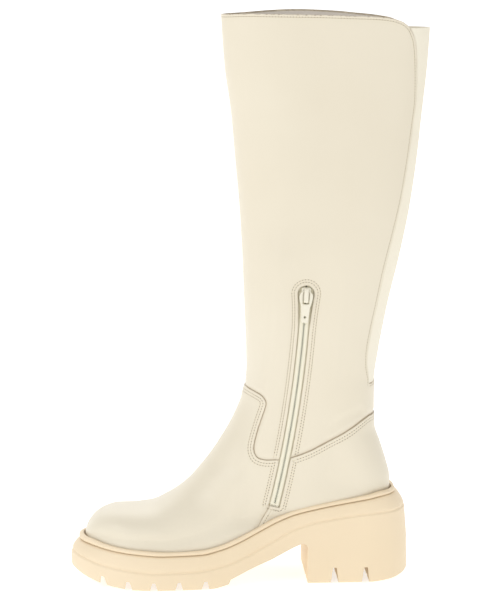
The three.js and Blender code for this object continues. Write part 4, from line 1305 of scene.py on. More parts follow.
@dataclass
class Stitching:
    """The thread rows of one panel: short stitches, with a needle hole, painted dark for its shade,
    between them.
    """

    panel: Panel
    pitch: float = 2.4
    length: float = 1.8
    radius: float = 0.24
    sides: int = 6
    hole_radius: float = 0.42
    hole_middle: float = 0.12  # height of a needle hole's middle and of its rim
    hole_rim: float = 0.03

    def rows(self) -> list[Array]:
        """The lines of places that the rows follow."""
        made = []
        for edge in self.panel.edges:
            for row in edge.rows:
                for turn in (-1, 1):
                    line = FORM.shifted(respaced(edge.line, 0.8), turn * row)
                    made.append((line, row))
        kept = []
        for line, row in made:
            good = self.panel.inside(line)
            for outline in self.panel.shown:
                good &= inside_polygon(line, outline)
            for edge in self.panel.edges:
                least = row - 0.25 if row in edge.rows else 1.6
                good &= self.panel.distances(line, edge) > least
            runs = np.split(np.arange(len(line)), np.nonzero(np.diff(good.astype(int)))[0] + 1)
            kept += [line[run] for run in runs if good[run[0]] and len(run) > 5]
        return kept

    def build(self) -> None:
        """Makes the stitches and the needle holes as one piece, if the panel has any."""
        points, faces, marks = [], [], []
        for line in self.rows():
            surface = FORM.raised(line, 0.0)
            step = np.linalg.norm(np.diff(surface, axis=0), axis=1)
            run = np.concatenate([[0], np.cumsum(step)])
            centres = np.arange(self.pitch / 2, run[-1], self.pitch)
            if not len(centres):
                continue
            at = np.stack([np.interp(centres, run, c) for c in line.T], axis=1)
            ahead = np.stack([np.interp(centres + 0.4, run, c) for c in line.T], axis=1)
            outer, _, _ = self.panel.heights(at)
            centre, beyond = FORM.raised(at, outer + 0.02), FORM.raised(ahead, outer + 0.02)
            along = unit(beyond - centre)
            out = unit(np.cross(*FORM.tangents(at)))
            for c, a, o in zip(centre, along, out):
                self.capsule(points, faces, marks, c, a, o)
                self.hole(points, faces, marks, c + a * self.pitch / 2, a, o)
        if points:
            name = "stitches_" + self.panel.name
            stacked = np.column_stack([np.array(points)[:, :2], marks])
            make_piece(name, np.array(points), faces, THREAD.build(), marks=stacked)

    def capsule(self, points: list, faces: list, marks: list, c: Array, a: Array, o: Array) -> None:
        """Adds one stitch, a bar with rounded ends that dip into the leather."""
        b = np.cross(o, a)
        start = len(points)
        shape = ((-0.5, 0.0, -0.16), (-0.42, 0.75, -0.05), (-0.2, 1.0, 0.0), (0.2, 1.0, 0.0),
                 (0.42, 0.75, -0.05), (0.5, 0.0, -0.16))
        for along, size, sink in shape:
            for i in range(self.sides):
                turn = 2 * math.pi * i / self.sides
                across = size * self.radius * (math.cos(turn) * b + math.sin(turn) * o)
                points.append(c + a * along * self.length + across + o * sink)
                marks.append(0.0)
        rings = grid_faces(len(shape), self.sides, True) + start
        faces.extend(rings[:, ::-1].tolist())

    def hole(self, points: list, faces: list, marks: list, c: Array, a: Array, o: Array) -> None:
        """Adds one needle hole: a dimple painted dark for the shade inside the hole."""
        b = np.cross(o, a)
        start = len(points)
        points.append(c + o * self.hole_middle)
        for i in range(self.sides):
            turn = 2 * math.pi * i / self.sides
            round_hole = self.hole_radius * (math.cos(turn) * a + math.sin(turn) * b)
            points.append(c + round_hole + o * self.hole_rim)
        # full painted shade on every corner of the hole
        marks.extend([1.0] * (self.sides + 1))
        ring = [start + 1 + i for i in range(self.sides)]
        for i in range(self.sides):
            faces.append((start, ring[i], ring[(i + 1) % self.sides]))
        faces.append(tuple(ring[::-1]))


def joined(name: str, parts: Sequence[tuple[Array, list]], finish: Finish,
           stands_for: Sequence[str] = (), body: str = "boot", crease: float = 42.0,
           marks: Array | None = None) -> bpy.types.Object:
    """Makes one piece out of several closed bodies.

    Args:
        name: The piece's name.
        parts: Points and faces of each body.
        finish: What the piece is made of.
        stands_for: Nodes that the piece replaces.
        body: The body that it moves with.
        crease: Edges that turn by more than these degrees stay sharp.
        marks: A vector for each corner.

    Returns:
        The piece.
    """
    points, faces, start = [], [], 0
    for some, turns in parts:
        points.append(some)
        faces += [[start + i for i in f] for f in outward(some, turns)]
        start += len(some)
    every = np.concatenate(points)
    if marks is None:
        marks = np.column_stack([every[:, 0], every[:, 2], np.zeros(len(every))])
    return make_piece(name, every, faces, finish.build(), stands_for, body, crease, marks)


def loft(rings: Sequence[Array], closed: bool = False) -> tuple[Array, list]:
    """Joins rings of points into a body.

    Args:
        rings: Rings with as many points each.
        closed: Whether the last ring runs on to the first, with no end faces.

    Returns:
        The points, and the faces.
    """
    columns = len(rings[0])
    count = len(rings)
    faces = grid_faces(count, columns, True).tolist()
    last = (count - 1) * columns
    if closed:
        seam = range(columns)
        faces += [[last + i, last + (i + 1) % columns, (i + 1) % columns, i] for i in seam]
    else:
        faces.append(list(range(columns))[::-1])
        faces.append([last + i for i in range(columns)])
    return np.concatenate(rings), faces


def outward(points: Array, faces: list) -> list:
    """The faces, turned so that their body's volume is positive."""
    volume = 0.0
    for face in faces:
        a = points[face[0]]
        for i in range(1, len(face) - 1):
            volume += float(np.dot(a, np.cross(points[face[i]], points[face[i + 1]])))
    return faces if volume > 0 else [list(f)[::-1] for f in faces]


@dataclass(frozen=True)
class Sole:
    """The rubber sole with its block heel, the welt round it and the footbed inside."""

    toe: float = -150.2
    heel: float = 132.6
    welt_top: Curve = Curve([
        (-143, 38.6), (-134, 38.4), (-127.7, 37.4), (-110, 34.6), (-91, 32.8), (-69, 31.7),
        (-42, 32.6), (-26.6, 35.7), (-11, 41.6), (4.8, 48.7), (20.5, 56.4), (36.4, 61.9),
        (56, 66.2), (75.6, 70), (95.3, 73.4), (109.5, 75.4), (116, 75.4), (122, 74.6)])
    groove: Curve = Curve([
        (-144, 33.9), (-134, 33.3), (-110, 30.4), (-91, 28.8), (-71.6, 28), (-42.5, 28.4),
        (-26.6, 31.5), (-11.2, 37), (4.4, 44.4), (20.3, 52.1), (36, 57.9), (55.7, 62.5),
        (94.9, 69.4), (108.8, 71.5), (115, 72), (122, 72)])
    crease: Curve = Curve([
        (-148, 24.6), (-134, 21.3), (-110, 17.3), (-81, 14.5), (-50, 15), (-23, 19), (-3.3, 26.4),
        (16.4, 36.2), (36, 46.1), (51.7, 51.2), (75, 55.4), (95, 58), (130, 59.5)])
    tread: Curve = Curve([
        (-150, 11), (-140, 7.4), (-127, 4), (-108, 1), (-96, 0), (98, 0), (116, 0.9), (133, 3.4)])
    bed: Curve = Curve([(row[2], row[3]) for row in Form.ENDS[15:][::-1]])
    arch: Line = ((-33, 0), (-20, 3.7), (-18.4, 7.5), (-3.2, 14.7), (16.6, 22.6), (34, 31.2),
                  (40.5, 34), (44.5, 33.6), (46.2, 31))
    centre: Curve = Curve([(0, -6), (35, -5), (62, -3), (86, 0), (180, 0)])
    half: ClassVar[dict[int, Curve]] = {
        MEDIAL: Curve([
            (0, 0), (22, 24), (35, 38), (50, 48), (62, 52), (73, 52), (85.5, 49), (98, 42.5),
            (110, 38.5), (124, 38), (137, 38), (151, 33), (164, 21), (180, 0)]),
        LATERAL: Curve([
            (0, 0), (22, 22), (35, 36), (50, 48), (62, 54), (73, 55.5), (85.5, 53.5), (98, 49),
            (110, 43), (124, 40), (137, 39), (151, 33.5), (164, 21.5), (180, 0)]),
    }
    welt_inset: Curve = Curve([(0, 6.7), (50, 3.6), (90, 3), (130, 3.8), (158, 7.5), (180, 11.6)])
    flare: Curve = Curve([(0, 0.2), (90, 0.4), (140, 1), (180, 2.6)])
    edge_height: float = 2.5
    edge_inset: float = 2.2
    toe_lugs: tuple = ((-124, -103, -82, -61, -39), 7.0, 6.5, 2.5)  # places, height, foot, top
    heel_lugs: tuple = ((68.7, 94.7), 13.3, 6.6, 3.0)
    pad: float = 3.0

    def outline(self, angle: Array, side: int, inset: Array) -> Array:
        """Points of the sole's plan outline, moved inwards.

        Args:
            angle: 0 at the toe to 180 at the back of the heel.
            side: Which side.
            inset: How far each point is moved in, at right angles to the outline.

        Returns:
            Rows of x and y.
        """
        def at(a: Array) -> Array:
            """Points of the outline itself."""
            x = (self.toe + self.heel) / 2 - (self.heel - self.toe) / 2 * np.cos(np.radians(a))
            return np.stack([x, self.centre(a) + side * self.half[side](a)], axis=-1)

        here = at(angle)
        before, after = at(np.clip(angle - 0.5, 0, 180)), at(np.clip(angle + 0.5, 0, 180))
        way = unit(after - before)
        way[angle <= 0] = [0, side]
        way[angle >= 180] = [0, -side]
        inwards = np.stack([side * way[:, 1], -side * way[:, 0]], axis=-1)
        return here + inwards * np.asarray(inset)[..., None]

    def angle_at(self, x: Array) -> Array:
        """The angle at which the outline has an x."""
        share = ((self.toe + self.heel) / 2 - x) / ((self.heel - self.toe) / 2)
        return np.degrees(np.arccos(np.clip(share, -1, 1)))

    def underside(self, x: Array) -> Array:
        """Height of the tread at each x, with its notches and the arch."""
        z = self.tread(x)
        for places, height, foot, narrow in (self.toe_lugs, self.heel_lugs):
            for place in places:
                slope = (foot / 2 - np.abs(x - place)) / ((foot - narrow) / 2)
                z = np.maximum(z, self.tread(x) + height * np.clip(slope, 0, 1))
        bow = np.interp(x, *np.array(self.arch).T, left=-9, right=-9)
        return np.maximum(z, bow)

    def stations(self) -> Array:
        """Angles of the cross-sections, close together where the tread turns a corner."""
        places = [*np.linspace(-146, 128, 120)]
        for some, _, foot, narrow in (self.toe_lugs, self.heel_lugs):
            for place in some:
                for reach in (foot / 2, narrow / 2):
                    places += [place - reach, place + reach]
        places += [x for x, _ in self.arch] + [self.arch[-1][0] + 0.06]
        ends = np.array([0, 0.8, 1.8, 3.2, 5, 7])
        angles = np.concatenate([ends, self.angle_at(np.array(places)), 180 - ends])
        angles = np.sort(angles)
        return angles[np.concatenate([[True], np.diff(angles) > 0.01])]

    def sidewall(self, angle: Array, x: Array, low: Array) -> list[tuple[Array, Array]]:
        """Insets and heights of the rows up the sole's side.

        Args:
            angle: The cross-sections' angles.
            x: Their places.
            low: Height of the tread at each.

        Returns:
            One pair a row, from the tread to the groove.
        """
        flare, rim = self.flare(angle), self.welt_inset(angle)
        rim_x = self.outline(angle, MEDIAL, rim)[:, 0]
        tread, crease, top = self.tread(x), self.crease(x), self.groove(rim_x)
        knots = [(flare + self.edge_inset, tread)]
        for turn in (22, 45, 68, 90):
            away = 1 - math.sin(math.radians(turn))
            rise = 1 - math.cos(math.radians(turn))
            knots.append((flare * away + self.edge_inset * away, tread + self.edge_height * rise))
        middle = mix(tread + self.edge_height, crease, 0.5)
        knots += [
            (flare * 0.3 - 0.25, middle), (flare, crease - 1.3), (flare + 0.7, crease - 0.4),
            (flare + 1.1, crease + 0.2), (flare + 1.0, crease + 0.9), (flare + 0.75, crease + 1.7)]
        ledge = flare + 0.75
        for share, height in ((0.1, 0.2), (0.28, 0.42), (0.48, 0.62), (0.72, 0.8), (0.92, 0.9)):
            knots.append((mix(ledge, rim, share), mix(crease + 1.7, top, height)))
        knots.append((rim + 0.3, mix(crease, top, 0.95)))
        knots.append((rim + 1.6, top))
        inset = np.array([k[0] for k in knots])
        height = np.maximum.accumulate(np.array([k[1] for k in knots]), axis=0)
        rows = []
        for i in range(len(knots)):
            z = np.maximum(height[i], low + 0.015 * i)
            moved = [np.interp(z[j], height[:, j], inset[:, j]) for j in range(len(x))]
            rows.append((np.array(moved), z))
        return rows

    def block(self) -> None:
        """Makes the sole itself, with the heel and the hollow that the foot parts lie in."""
        angle = self.stations()
        x = self.outline(angle, MEDIAL, 0 * angle)[:, 0]
        low = self.underside(x)
        rows = self.sidewall(angle, x, low)
        rim = self.welt_inset(angle) + 1.6
        top = self.groove(self.outline(angle, MEDIAL, rim - 1.6)[:, 0])
        hollow = np.minimum(self.bed(x) - 0.8, top)
        inner = ((5, top), (8, mix(top, hollow, 0.6)), (11, hollow))
        channel = ((0.85, 0), (0.5, 0), (0.46, 1.4), (0.38, 1.4), (0.34, 0), (0.1, 0))
        sides, across, bottom = {}, {}, {}
        for s in BOTH:
            sides[s] = [
                np.column_stack([self.outline(angle, s, inset), z]) for inset, z in rows]
            edge = self.outline(angle, s, rim)
            middle = (edge + self.outline(angle, -s, rim)) / 2
            room = np.maximum(self.half[s](angle) - rim * 0.5, 1)
            across[s] = []
            for inset, z in inner:
                share = np.clip(inset / room, 0, 0.94)[:, None]
                across[s].append(np.column_stack([mix(edge, middle, share), z]))
        for s in BOTH:
            near = sides[s][0]
            middle = (near + sides[-s][0]) / 2
            bottom[s] = [mix(middle, near, share) + [0, 0, rise] for share, rise in channel]
        loop = [*bottom[MEDIAL][::-1], *sides[MEDIAL], *across[MEDIAL], *across[LATERAL][::-1],
                *sides[LATERAL][::-1], *bottom[LATERAL]]
        rings = [np.array([row[i] for row in loop]) for i in range(len(angle))]
        joined("sole", [welded(*loft(rings))], RUBBER, ["sole_unit"], crease=28)

    def welt(self) -> None:
        """Makes the bead between the sole and the upper, with painted shade in the groove under it
        and in the gap above it.
        """
        turn = np.concatenate([np.linspace(0, 180, 200), np.linspace(180, 0, 200)[1:-1]])
        side = np.array([MEDIAL] * 200 + [LATERAL] * 198)
        rim = self.welt_inset(turn)

        def ring(inset: Array, z: Array) -> Array:
            """A line round the whole sole at an inset and a height."""
            both = {s: self.outline(turn, s, inset) for s in BOTH}
            plane = np.where((side < 0)[:, None], both[MEDIAL], both[LATERAL])
            return np.column_stack([plane, z])

        x = ring(rim, 0 * turn)[:, 0]
        top, low = self.welt_top(x), self.groove(x) + 0.1
        inner_low, inner_high = np.zeros(len(turn)), np.full(len(turn), 26.0)
        for _ in range(16):
            probe = (inner_low + inner_high) / 2
            hit = FORM.covers(ring(rim + probe, top - 0.8), 0.9)
            inner_low = np.where(hit, inner_low, probe)
            inner_high = np.where(hit, probe, inner_high)
        reach = smooth_ring(np.minimum(inner_high, 22.0))
        bead = ((1.7, 0.0), (1.1, 0.06), (0.45, 0.2), (0.08, 0.4), (0.0, 0.55), (0.12, 0.72),
                (0.5, 0.88), (1.1, 0.985), (1.8, 1.0))
        rows = [ring(rim + inset, mix(low, top, share)) for inset, share in bead]
        wide = rim + np.maximum(reach, 4.2)
        for back, drop in ((2.1, 0.05), (1.6, 0.3), (1.2, 1.2), (0.0, 1.4)):
            rows.append(ring(wide - back, top - drop))
        rows.append(ring(wide + 0.4, low))
        rings = [np.array([row[i] for row in rows]) for i in range(len(turn))]
        # painted shade: darker in the groove under the bead and in the gap where the leather meets
        # it
        dark = [0.9, 0.6, 0.1, *[0.0] * 7, 0.5, 1.0, 1.0, 1.0]
        points, faces = loft(rings, True)
        marks = np.column_stack([points[:, :2], np.tile(dark, len(turn))])
        joined("welt_bead", [(points, faces)], RUBBER, ["welt"], crease=50,
               marks=marks)

    def footbed(self) -> None:
        """Makes the padded footbed that the foot stands on."""
        count, across = 150, 25
        share = np.linspace(-1, 1, across)
        rings = []
        x_back, x_front = self.bed.x[-1] - 6.5, self.bed.x[0] + 6.5
        for x in mix(x_back, x_front, (1 - np.cos(np.linspace(0, math.pi, count))) / 2):
            z = float(self.bed(x)) + 8.0
            limits = []
            for s in BOTH:
                y = np.linspace(0, 60, 240)
                probe = np.column_stack([np.full(240, x), -3 + s * y, np.full(240, z)])
                held = FORM.covers(probe, 4.4)
                limits.append(y[held].max() if held.any() else 0.0)
            width = np.array([limits[0] if a < 0 else limits[1] for a in share])
            y = -3 + share * width
            edge = np.sqrt(np.clip(1 - np.abs(share) ** 6, 0, 1))
            base = float(self.bed(x)) + 2.6
            upper = base + 0.4 + self.pad * edge + 1.1 * np.abs(share) ** 3
            top = np.column_stack([np.full(across, x), y, upper])
            low = np.column_stack([np.full(across, x), y, np.full(across, base)])
            rings.append(np.concatenate([top, low[::-1]]))
        points, faces = welded(*loft([r for r in rings if np.ptp(r[:, 1]) > 4]))
        pad = joined("footbed_pad", [(points, faces)], SOCK, ["footbed"])

    def build(self) -> None:
        """Makes the sole, the welt and the footbed."""
        self.block()
        self.welt()
        self.footbed()


def smooth_ring(values: Array) -> Array:
    """Closed-ring values with their jitter taken out."""
    weights = np.array([1, 4, 6, 4, 1]) / 16
    for _ in range(3):
        values = sum(w * np.roll(values, i - 2) for i, w in enumerate(weights))
    return values


def welded(points: Array, faces: list) -> tuple[Array, list]:
    """The body with equal points made one and collapsed faces dropped."""
    keys = np.round(points, 3)
    _, first, back = np.unique(keys, axis=0, return_index=True, return_inverse=True)
    back = back.ravel()
    made = []
    for face in faces:
        ring = [int(back[i]) for i in face]
        ring = [v for i, v in enumerate(ring) if v != ring[i - 1]]
        if len(ring) > 2 and len(set(ring)) == len(ring):
            made.append(ring)
    return points[first], made


@dataclass(frozen=True)
class Zip:
    """The zip: tapes, ridges, teeth, slider and pull, in place on the flat inner wall."""

    tape_half: float = 8.0
    tape_face: float = 1.8
    tape_thickness: float = 0.6
    above: float = 7.0
    below: float = 3.5
    split: float = 0.5
    ridge_from: float = 0.62
    ridge_to: float = 3.95
    ridge_top: float = 0.5
    coil_start: float = 2.0
    coil_end: float = 188.0
    tooth_pitch: float = 1.5
    guard_half: float = 12.0
    slider_start: float = 1.4
    slider_length: float = 12.6
    plate_out: float = -1.0
    plate_in: float = 0.2
    low_plate: float = 2.7
    crown_half: float = 1.8
    pivot: float = 4.0
    pivot_depth: float = -1.9485
    pull_length: float = 27.0
    head_radius: float = 5.6

    def strip(self, section: Array, s: Array, wave: Array | None = None) -> tuple[Array, list]:
        """A body of one section carried down the zip.

        Args:
            section: Rows of aside and depth, in order round the section.
            s: Distances down the zip.
            wave: Extra depth at each distance, if any, for points above the tape.

        Returns:
            The points, and the faces.
        """
        rings = []
        for i, along in enumerate(s):
            depth = section[:, 1].copy()
            if wave is not None:
                depth = depth + wave[i] * np.clip((self.tape_face - depth) / 1.3, 0, 1)
            rings.append(WALL.point(np.full(len(section), along), section[:, 0], depth))
        return loft(rings)

    def marks(self, count: int, s: Array, section: Array) -> Array:
        """Thread directions for a strip: aside and along, in millimetres."""
        a = np.tile(section[:, 0], len(s))
        return np.column_stack([a, np.repeat(s, len(section)), np.zeros(count)])

    def tapes(self) -> None:
        """Makes both tapes, with their thicker woven edges."""
        s = np.linspace(-self.above, WALL.length + self.below, 150)
        for name, side in (("front", -1), ("rear", 1)):
            near, far = self.tape_face, self.tape_face + self.tape_thickness
            section = np.array([
                (self.split, near + 0.1), (self.split + 0.15, near), (4.4, near),
                (4.7, near - 0.12), (5.4, near - 0.12), (5.7, near), (self.tape_half - 0.15, near),
                (self.tape_half, near + 0.1), (self.tape_half, far), (self.split, far)])
            section[:, 0] *= side
            points, faces = self.strip(section, s)
            joined("tape_" + name, [(points, faces)], TAPE_CLOTH,
                   ["zip_tape_" + name], marks=self.marks(len(points), s, section))

    def ridges(self) -> None:
        """Makes the cloth-covered ridges and the teeth that reach from them to the middle."""
        turn = np.linspace(0, math.pi, 11)
        middle = (self.ridge_from + self.ridge_to) / 2
        half = (self.ridge_to - self.ridge_from) / 2
        seat = self.tape_face + 0.05
        rise = seat - self.ridge_top
        arc = np.stack([
            middle - half * np.sign(np.cos(turn)) * np.abs(np.cos(turn)) ** 0.8,
            seat - rise * np.sin(turn) ** 0.7], axis=1)
        s = np.arange(self.coil_start, self.coil_end, 0.32)
        ends = np.minimum(s - s[0], s[-1] - s)
        wave = 0.07 * np.sin(2 * math.pi * s / 1.28) + 0.8 * (1 - ease(ends / 1.2))
        for name, side in (("front", -1), ("rear", 1)):
            section = arc * np.array([side, 1])
            points, faces = self.strip(section, s, wave)
            marks = self.marks(len(points), s, section)
            joined("ridge_" + name, [(points, faces)], RIDGE_CLOTH,
                   ["zip_coil_" + name], marks=marks, crease=70)
            teeth = []
            start = self.coil_start + (0.8 if side > 0 else 0.8 + self.tooth_pitch / 2)
            for along in np.arange(start, self.coil_end - 0.8, self.tooth_pitch):
                teeth.append(self.tooth(along, side))
            joined("teeth_" + name, teeth, COIL_NYLON, crease=60)

    def tooth(self, along: float, side: int) -> tuple[Array, list]:
        """One rounded tooth beside the middle line."""
        rings = []
        shape = ((1.25, 0.5, 0.0), (0.75, 0.5, 0.0), (0.4, 0.58, -0.04), (0.18, 0.5, 0.02),
                 (0.12, 0.3, 0.12))
        for aside, size, sink in shape:
            turn = np.linspace(0, 2 * math.pi, 8, endpoint=False)
            rings.append(WALL.point(
                along + size * np.cos(turn), np.full(8, side * aside),
                0.95 + sink + size * 0.9 * np.sin(turn)))
        return loft(rings)

    def plate(self, outline: Array, near: float, far: float, radius: float,
              holes: Sequence[Array] = ()) -> tuple[Array, list]:
        """A flat plate with rounded edges, set at a depth in the wall.

        Args:
            outline: Rows of along and aside.
            near: Depth of its outer face.
            far: Depth of its inner face.
            radius: Radius of its edges.
            holes: Outlines that go right through.

        Returns:
            The points, and the faces.
        """
        steps = np.radians([0, 30, 60, 90])
        inset = [*(radius * (1 - np.sin(steps))), *(radius * (1 - np.sin(steps[::-1])))]
        bend = radius * (1 - np.cos(steps))
        depth = [*(near + bend), *(far - bend[::-1])]
        rings, sizes = [], []
        for i, contour in enumerate([outline, *holes]):
            x, y = contour.T
            area = (x * np.roll(y, -1) - y * np.roll(x, -1)).sum()
            line = contour if (area > 0) == (i == 0) else contour[::-1]
            ahead = unit(np.roll(line, -1, axis=0) - line)
            behind = np.roll(ahead, 1, axis=0)
            bisector = (ahead + behind)[:, ::-1] * [-1, 1]
            bisector = bisector / np.maximum((bisector**2).sum(1, keepdims=True) / 2, 0.4)
            rings.append([line + bisector * o for o in inset])
            sizes.append(len(line))
        points, faces, start = [], [], 0
        caps = ([], [])
        for contour in rings:
            count = len(contour[0])
            for level, d in zip(contour, depth):
                points.append(WALL.point(level[:, 0], level[:, 1], np.full(count, d)))
            faces += (grid_faces(len(depth), count, True) + start).tolist()
            caps[0].append((start, contour[0]))
            caps[1].append((start + (len(depth) - 1) * count, contour[-1]))
            start += count * len(depth)
        for end, cap in enumerate(caps):
            flat = np.concatenate([level for _, level in cap])
            owner = np.concatenate([at + np.arange(len(level)) for at, level in cap])
            bars, run = [], 0
            for _, level in cap:
                bars += [(run + i, run + (i + 1) % len(level)) for i in range(len(level))]
                run += len(level)
            found = delaunay_2d_cdt([Vector(p) for p in flat.tolist()], bars, [], 0, 1e-6, True)
            back = [owner[ids[0]] for ids in found[3]]
            where = np.array([tuple(p) for p in found[0]])
            for face in found[2]:
                middle = where[face].mean(axis=0)[None]
                if not inside_polygon(middle, cap[0][1])[0]:
                    continue
                if any(inside_polygon(middle, level)[0] for _, level in cap[1:]):
                    continue
                turned = face if end == 1 else face[::-1]
                faces.append([int(back[i]) for i in turned])
        return np.concatenate(points), faces

    def slider(self) -> None:
        """Makes the slider: two plates, a post and the crown over the pull's bar."""
        top, low = self.slider_start, self.slider_start + self.slider_length
        half = np.array([
            (top, 2.5), (top + 0.25, 3.1), (top + 0.9, 3.7), (top + 2.2, 3.9),
            (mix(top, low, 0.5), 3.85), (low - 2, 3.35), (low - 0.6, 3.1), (low - 0.15, 2.7),
            (low, 2.2)])
        outline = np.concatenate([half, (half * [1, -1])[::-1]])
        upper = self.plate(outline, self.plate_out, self.plate_in, 0.42)
        lower = self.plate(outline, self.low_plate, self.low_plate + 0.8, 0.3)
        post_half = np.array([(top, 0.04), (top + 0.3, 0.06), (top + 3, 0.06), (top + 3.2, 0.04)])
        post_line = np.concatenate([post_half, (post_half * [1, -1])[::-1]])
        post = self.plate(post_line, -0.2, 3.1, 0.02)
        path_in = ((2.8, -0.7), (2.8, -2.2), (2.95, -2.85), (3.5, -3.1), (6, -3.1), (9, -3.1),
                   (11.6, -3.1), (12.4, -2.85), (12.75, -2.3), (12.8, -0.7))
        path_out = ((1.75, -0.7), (1.68, -2.4), (1.95, -3.35), (2.9, -3.95), (6, -4.2), (9, -4.15),
                    (12.0, -3.85), (13.4, -3.1), (13.9, -2.2), (13.95, -0.7))
        rings = []
        shape = [(-1.0, 0.0), (-1.0, 0.55), (-0.88, 0.86), (-0.6, 1.0), (0.6, 1.0), (0.88, 0.86),
                 (1.0, 0.55), (1.0, 0.0)]
        for (s0, d0), (s1, d1) in zip(*(finer(np.array(p, float), 4) for p in (path_in, path_out))):
            ring = [(mix(s0, s1, t), a * self.crown_half, mix(d0, d1, t)) for a, t in shape]
            s, a, d = np.array(ring).T
            rings.append(WALL.point(s, a, d))
        joined("slider", [upper, lower, post, loft(rings)], ENAMEL, ["zip_slider"],
               "zip_slider", crease=38)

    def pull(self) -> None:
        """Makes the pull tab: a round head with a window, and a tongue with a small hole."""
        top = self.pivot - 0.6
        centre, tip = top + self.head_radius, top + self.pull_length
        turn = np.linspace(0.0, math.pi, 25)
        head = np.stack([
            centre - self.head_radius * np.sin(turn), -self.head_radius * np.cos(turn)], axis=1)
        neck = np.array([
            (centre + 3, 5.2), (centre + 6, 4.4), (centre + 9, 3.6),
            (mix(centre + 9, tip, 0.5), 3.15), (tip - 0.9, 2.85), (tip - 0.4, 2.7),
            (tip - 0.1, 2.35), (tip, 1.9)])
        outline = np.concatenate([head, neck, (neck * [1, -1])[::-1]])
        w0, w1, wh = self.pivot + 0.6, self.slider_start + self.slider_length + 1, 2.7
        window = np.array([
            (w0, -wh + 1.0), (w0 + 0.3, -wh + 0.4), (w0 + 0.9, -wh), (w1 - 0.8, -wh),
            (w1 - 0.25, -wh + 0.25), (w1, -wh + 0.8), (w1, wh - 0.8), (w1 - 0.25, wh - 0.25),
            (w1 - 0.8, wh), (w0 + 0.9, wh), (w0 + 0.3, wh - 0.4), (w0, wh - 1.0)])
        circle = np.linspace(0, 2 * math.pi, 18, endpoint=False)
        hole = np.stack([tip - 4.6 + 1.0 * np.cos(circle), 1.0 * np.sin(circle)], axis=1)
        body = self.plate(outline, self.pivot_depth - 0.6, self.pivot_depth + 0.6, 0.3,
                          [window, hole])
        joined("pull_tab", [body], ENAMEL, ["zip_pull"], "zip_pull", crease=38)

    def guard(self) -> None:
        """Makes the strip of lining behind the zip."""
        s = np.linspace(-12, WALL.length - 7, 120)
        g = self.guard_half
        section = np.array([
            (-g, 4.6), (0.2 - g, 4.4), (1 - g, 4.35), (g - 1, 4.35), (g - 0.2, 4.4), (g, 4.6),
            (g, 5.1), (-g, 5.1)])
        points, faces = self.strip(section, s)
        joined("guard_strip", [(points, faces)], LINING, ["zip_guard"],
               marks=self.marks(len(points), s, section))

    def tack(self) -> None:
        """Makes the short rows of thread that close the zip's lower end."""
        parts = []
        for along, reach in ((WALL.length - 1.0, 4.0), (WALL.length + 2.6, 5.0)):
            for aside in np.arange(-reach, reach, 1.25):
                turn = np.linspace(0, 2 * math.pi, 6, endpoint=False)
                rings = []
                for step, size, sink in ((-0.7, 0.08, 0.3), (-0.45, 0.2, 0.0), (0.45, 0.2, 0.0),
                                         (0.7, 0.08, 0.3)):
                    rings.append(WALL.point(
                        np.full(6, along + step), aside + size * np.cos(turn),
                        (0.35 if along < WALL.length else -0.1) + sink + size * np.sin(turn)))
                parts.append(loft(rings))
        count = sum(len(points) for points, _ in parts)
        joined("zip_tack", parts, THREAD, crease=60,
               marks=np.tile([0.0, 0.0, 0.7], (count, 1)))

    def build(self) -> None:
        """Makes every part of the zip."""
        self.tapes()
        self.ridges()
        self.tack()
        self.guard()
        self.slider()
        self.pull()


def finer(points: Array, times: int) -> Array:
    """The line with extra points between its points, in step with them."""
    at = np.linspace(0, len(points) - 1, (len(points) - 1) * times + 1)
    return np.stack([np.interp(at, np.arange(len(points)), c) for c in points.T], axis=1)


class Inside:
    """The stiffeners, boards and fixings that the upper and sole enclose."""

    finishes = {
        "toe_puff": (BOARD, "fibre_board"),
        "heel_counter": (BOARD, "fibre_board"),
        "insole_board": (BOARD, "fibre_board"),
        "heel_core": (CORE, "core_plastic"),
        "forefoot_filler": (FOAM, "filler_foam"),
        "shank": (STEEL, "shank_steel"),
        "shank_rivet_": (STEEL, "shank_steel"),
        "heel_screw_": (STEEL, "shank_steel"),
        "zip_top_stop_": (ENAMEL, "zip_metal"),
        "zip_bottom_stop": (RIDGE_CLOTH, "zip_metal"),
    }

    def build(self) -> None:
        """Gives each part its procedural finish."""
        for name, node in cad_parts.items():
            for start, (finish, slot) in self.finishes.items():
                if name == start or (start.endswith("_") and name.startswith(start)):
                    node.data.materials.clear()
                    node.data.materials.append(finish.build())
                    LOG.info("%s: %s", name, finish.name)


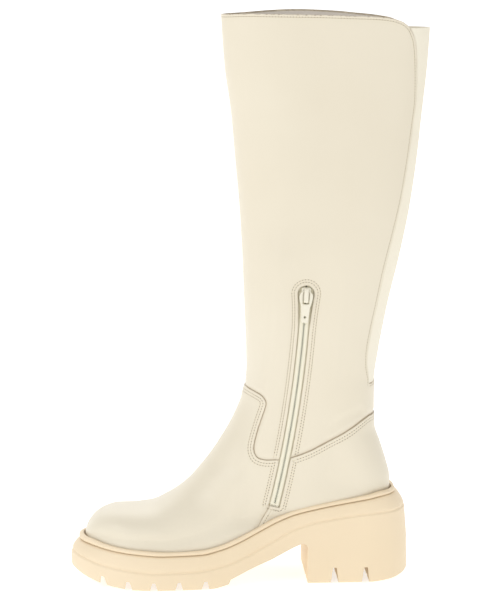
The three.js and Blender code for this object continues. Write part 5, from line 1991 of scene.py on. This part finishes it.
@dataclass(frozen=True)
class Studio:
    """A pale floor that rises into a backdrop, soft lights and the camera."""

    distance: float = 1900.0
    azimuth: float = -3.0
    elevation: float = 9.445
    aim: tuple[float, float, float] = (0.0, 0.0, 233.2)
    lens: float = 137.35
    surround: float = 0.69
    floor_glow: float = 0.6

    def build(self) -> None:
        """Makes the stage."""
        self.floor()
        self.world()
        for name, place_at, size, power, colour in (
            ("key", (-1500, -1400, 1500), 1300, 12.5, (1.0, 0.99, 0.98)),
            ("fill", (1500, -1300, 900), 1300, 3.0, (1.0, 1.0, 1.0)),
            ("back", (-300, 1400, 1500), 1200, 7.0, (1.0, 1.0, 1.0)),
        ):
            self.light(name, np.array(place_at, float), size, power, colour)
        self.camera()
        bpy.context.scene.view_settings.view_transform = "Standard"

    def floor(self) -> None:
        """A wide floor that curves up behind into a backdrop."""
        across = np.linspace(-4000, 4000, 9)
        profile = [
            (-3000, 0), (0, 0), (1500, 0), (2300, 40), (2900, 300), (3200, 900), (3300, 4000)]
        points = np.array([[x, y, z - 0.3] for y, z in profile for x in across])
        faces = grid_faces(len(profile), len(across))
        material = bpy.data.materials.new("pale_floor")
        material.use_nodes = True
        t = Tree(material.node_tree)
        tone = t.group(Effect.TONE, {"Patches a metre": 0.6}).outputs[0]
        colour = t.blend(tone, (0.72, 0.72, 0.72, 1), (0.70, 0.70, 0.70, 1))
        shader = material.node_tree.nodes["Principled BSDF"]
        material.node_tree.links.new(colour, shader.inputs["Base Color"])
        shader.inputs["Roughness"].default_value = 0.9
        shader.inputs["Emission Color"].default_value = (1.0, 1.0, 1.0, 1.0)
        shader.inputs["Emission Strength"].default_value = self.floor_glow
        mesh = bpy.data.meshes.new("floor")
        mesh.from_pydata((points * MM).tolist(), [], faces.tolist())
        mesh.shade_smooth()
        mesh.materials.append(material)
        floor = bpy.data.objects.new("floor", mesh)
        bpy.context.scene.collection.objects.link(floor)

    def world(self) -> None:
        """An even, near-white surround."""
        world = bpy.data.worlds.new("surround")
        world.use_nodes = True
        shade = world.node_tree.nodes["Background"]
        shade.inputs["Color"].default_value = (1.0, 1.0, 1.0, 1.0)
        shade.inputs["Strength"].default_value = self.surround
        bpy.context.scene.world = world

    def light(self, name: str, at: Array, size: float, power: float, colour: Colour) -> None:
        """Adds a soft square light that faces the boot."""
        lamp = bpy.data.lights.new(name, "AREA")
        lamp.shape = "SQUARE"
        lamp.size = size * MM
        lamp.energy = power
        lamp.color = colour
        holder = bpy.data.objects.new(name, lamp)
        holder.location = at * MM
        way = Vector(((np.array(self.aim) - at) * MM).tolist())
        holder.rotation_euler = way.to_track_quat("-Z", "Y").to_euler()
        bpy.context.scene.collection.objects.link(holder)

    def camera(self) -> None:
        """Adds the camera."""
        aim = Vector(((np.array(self.aim) + place()) * MM).tolist())
        a, e = math.radians(self.azimuth), math.radians(self.elevation)
        back = Vector((math.sin(a) * math.cos(e), -math.cos(a) * math.cos(e), math.sin(e)))
        lens = bpy.data.cameras.new("camera")
        lens.lens = self.lens
        lens.clip_end = 50.0
        holder = bpy.data.objects.new("camera", lens)
        holder.location = aim + back * self.distance * MM
        holder.rotation_euler = (-back).to_track_quat("-Z", "Y").to_euler()
        bpy.context.scene.collection.objects.link(holder)
        bpy.context.scene.camera = holder


def main() -> None:
    """Builds the boot and its stage."""
    logging.basicConfig(level=logging.INFO)
    Upper().build()
    Sole().build()
    Zip().build()
    Inside().build()
    Studio().build()


if __name__ == "__main__":
    main()
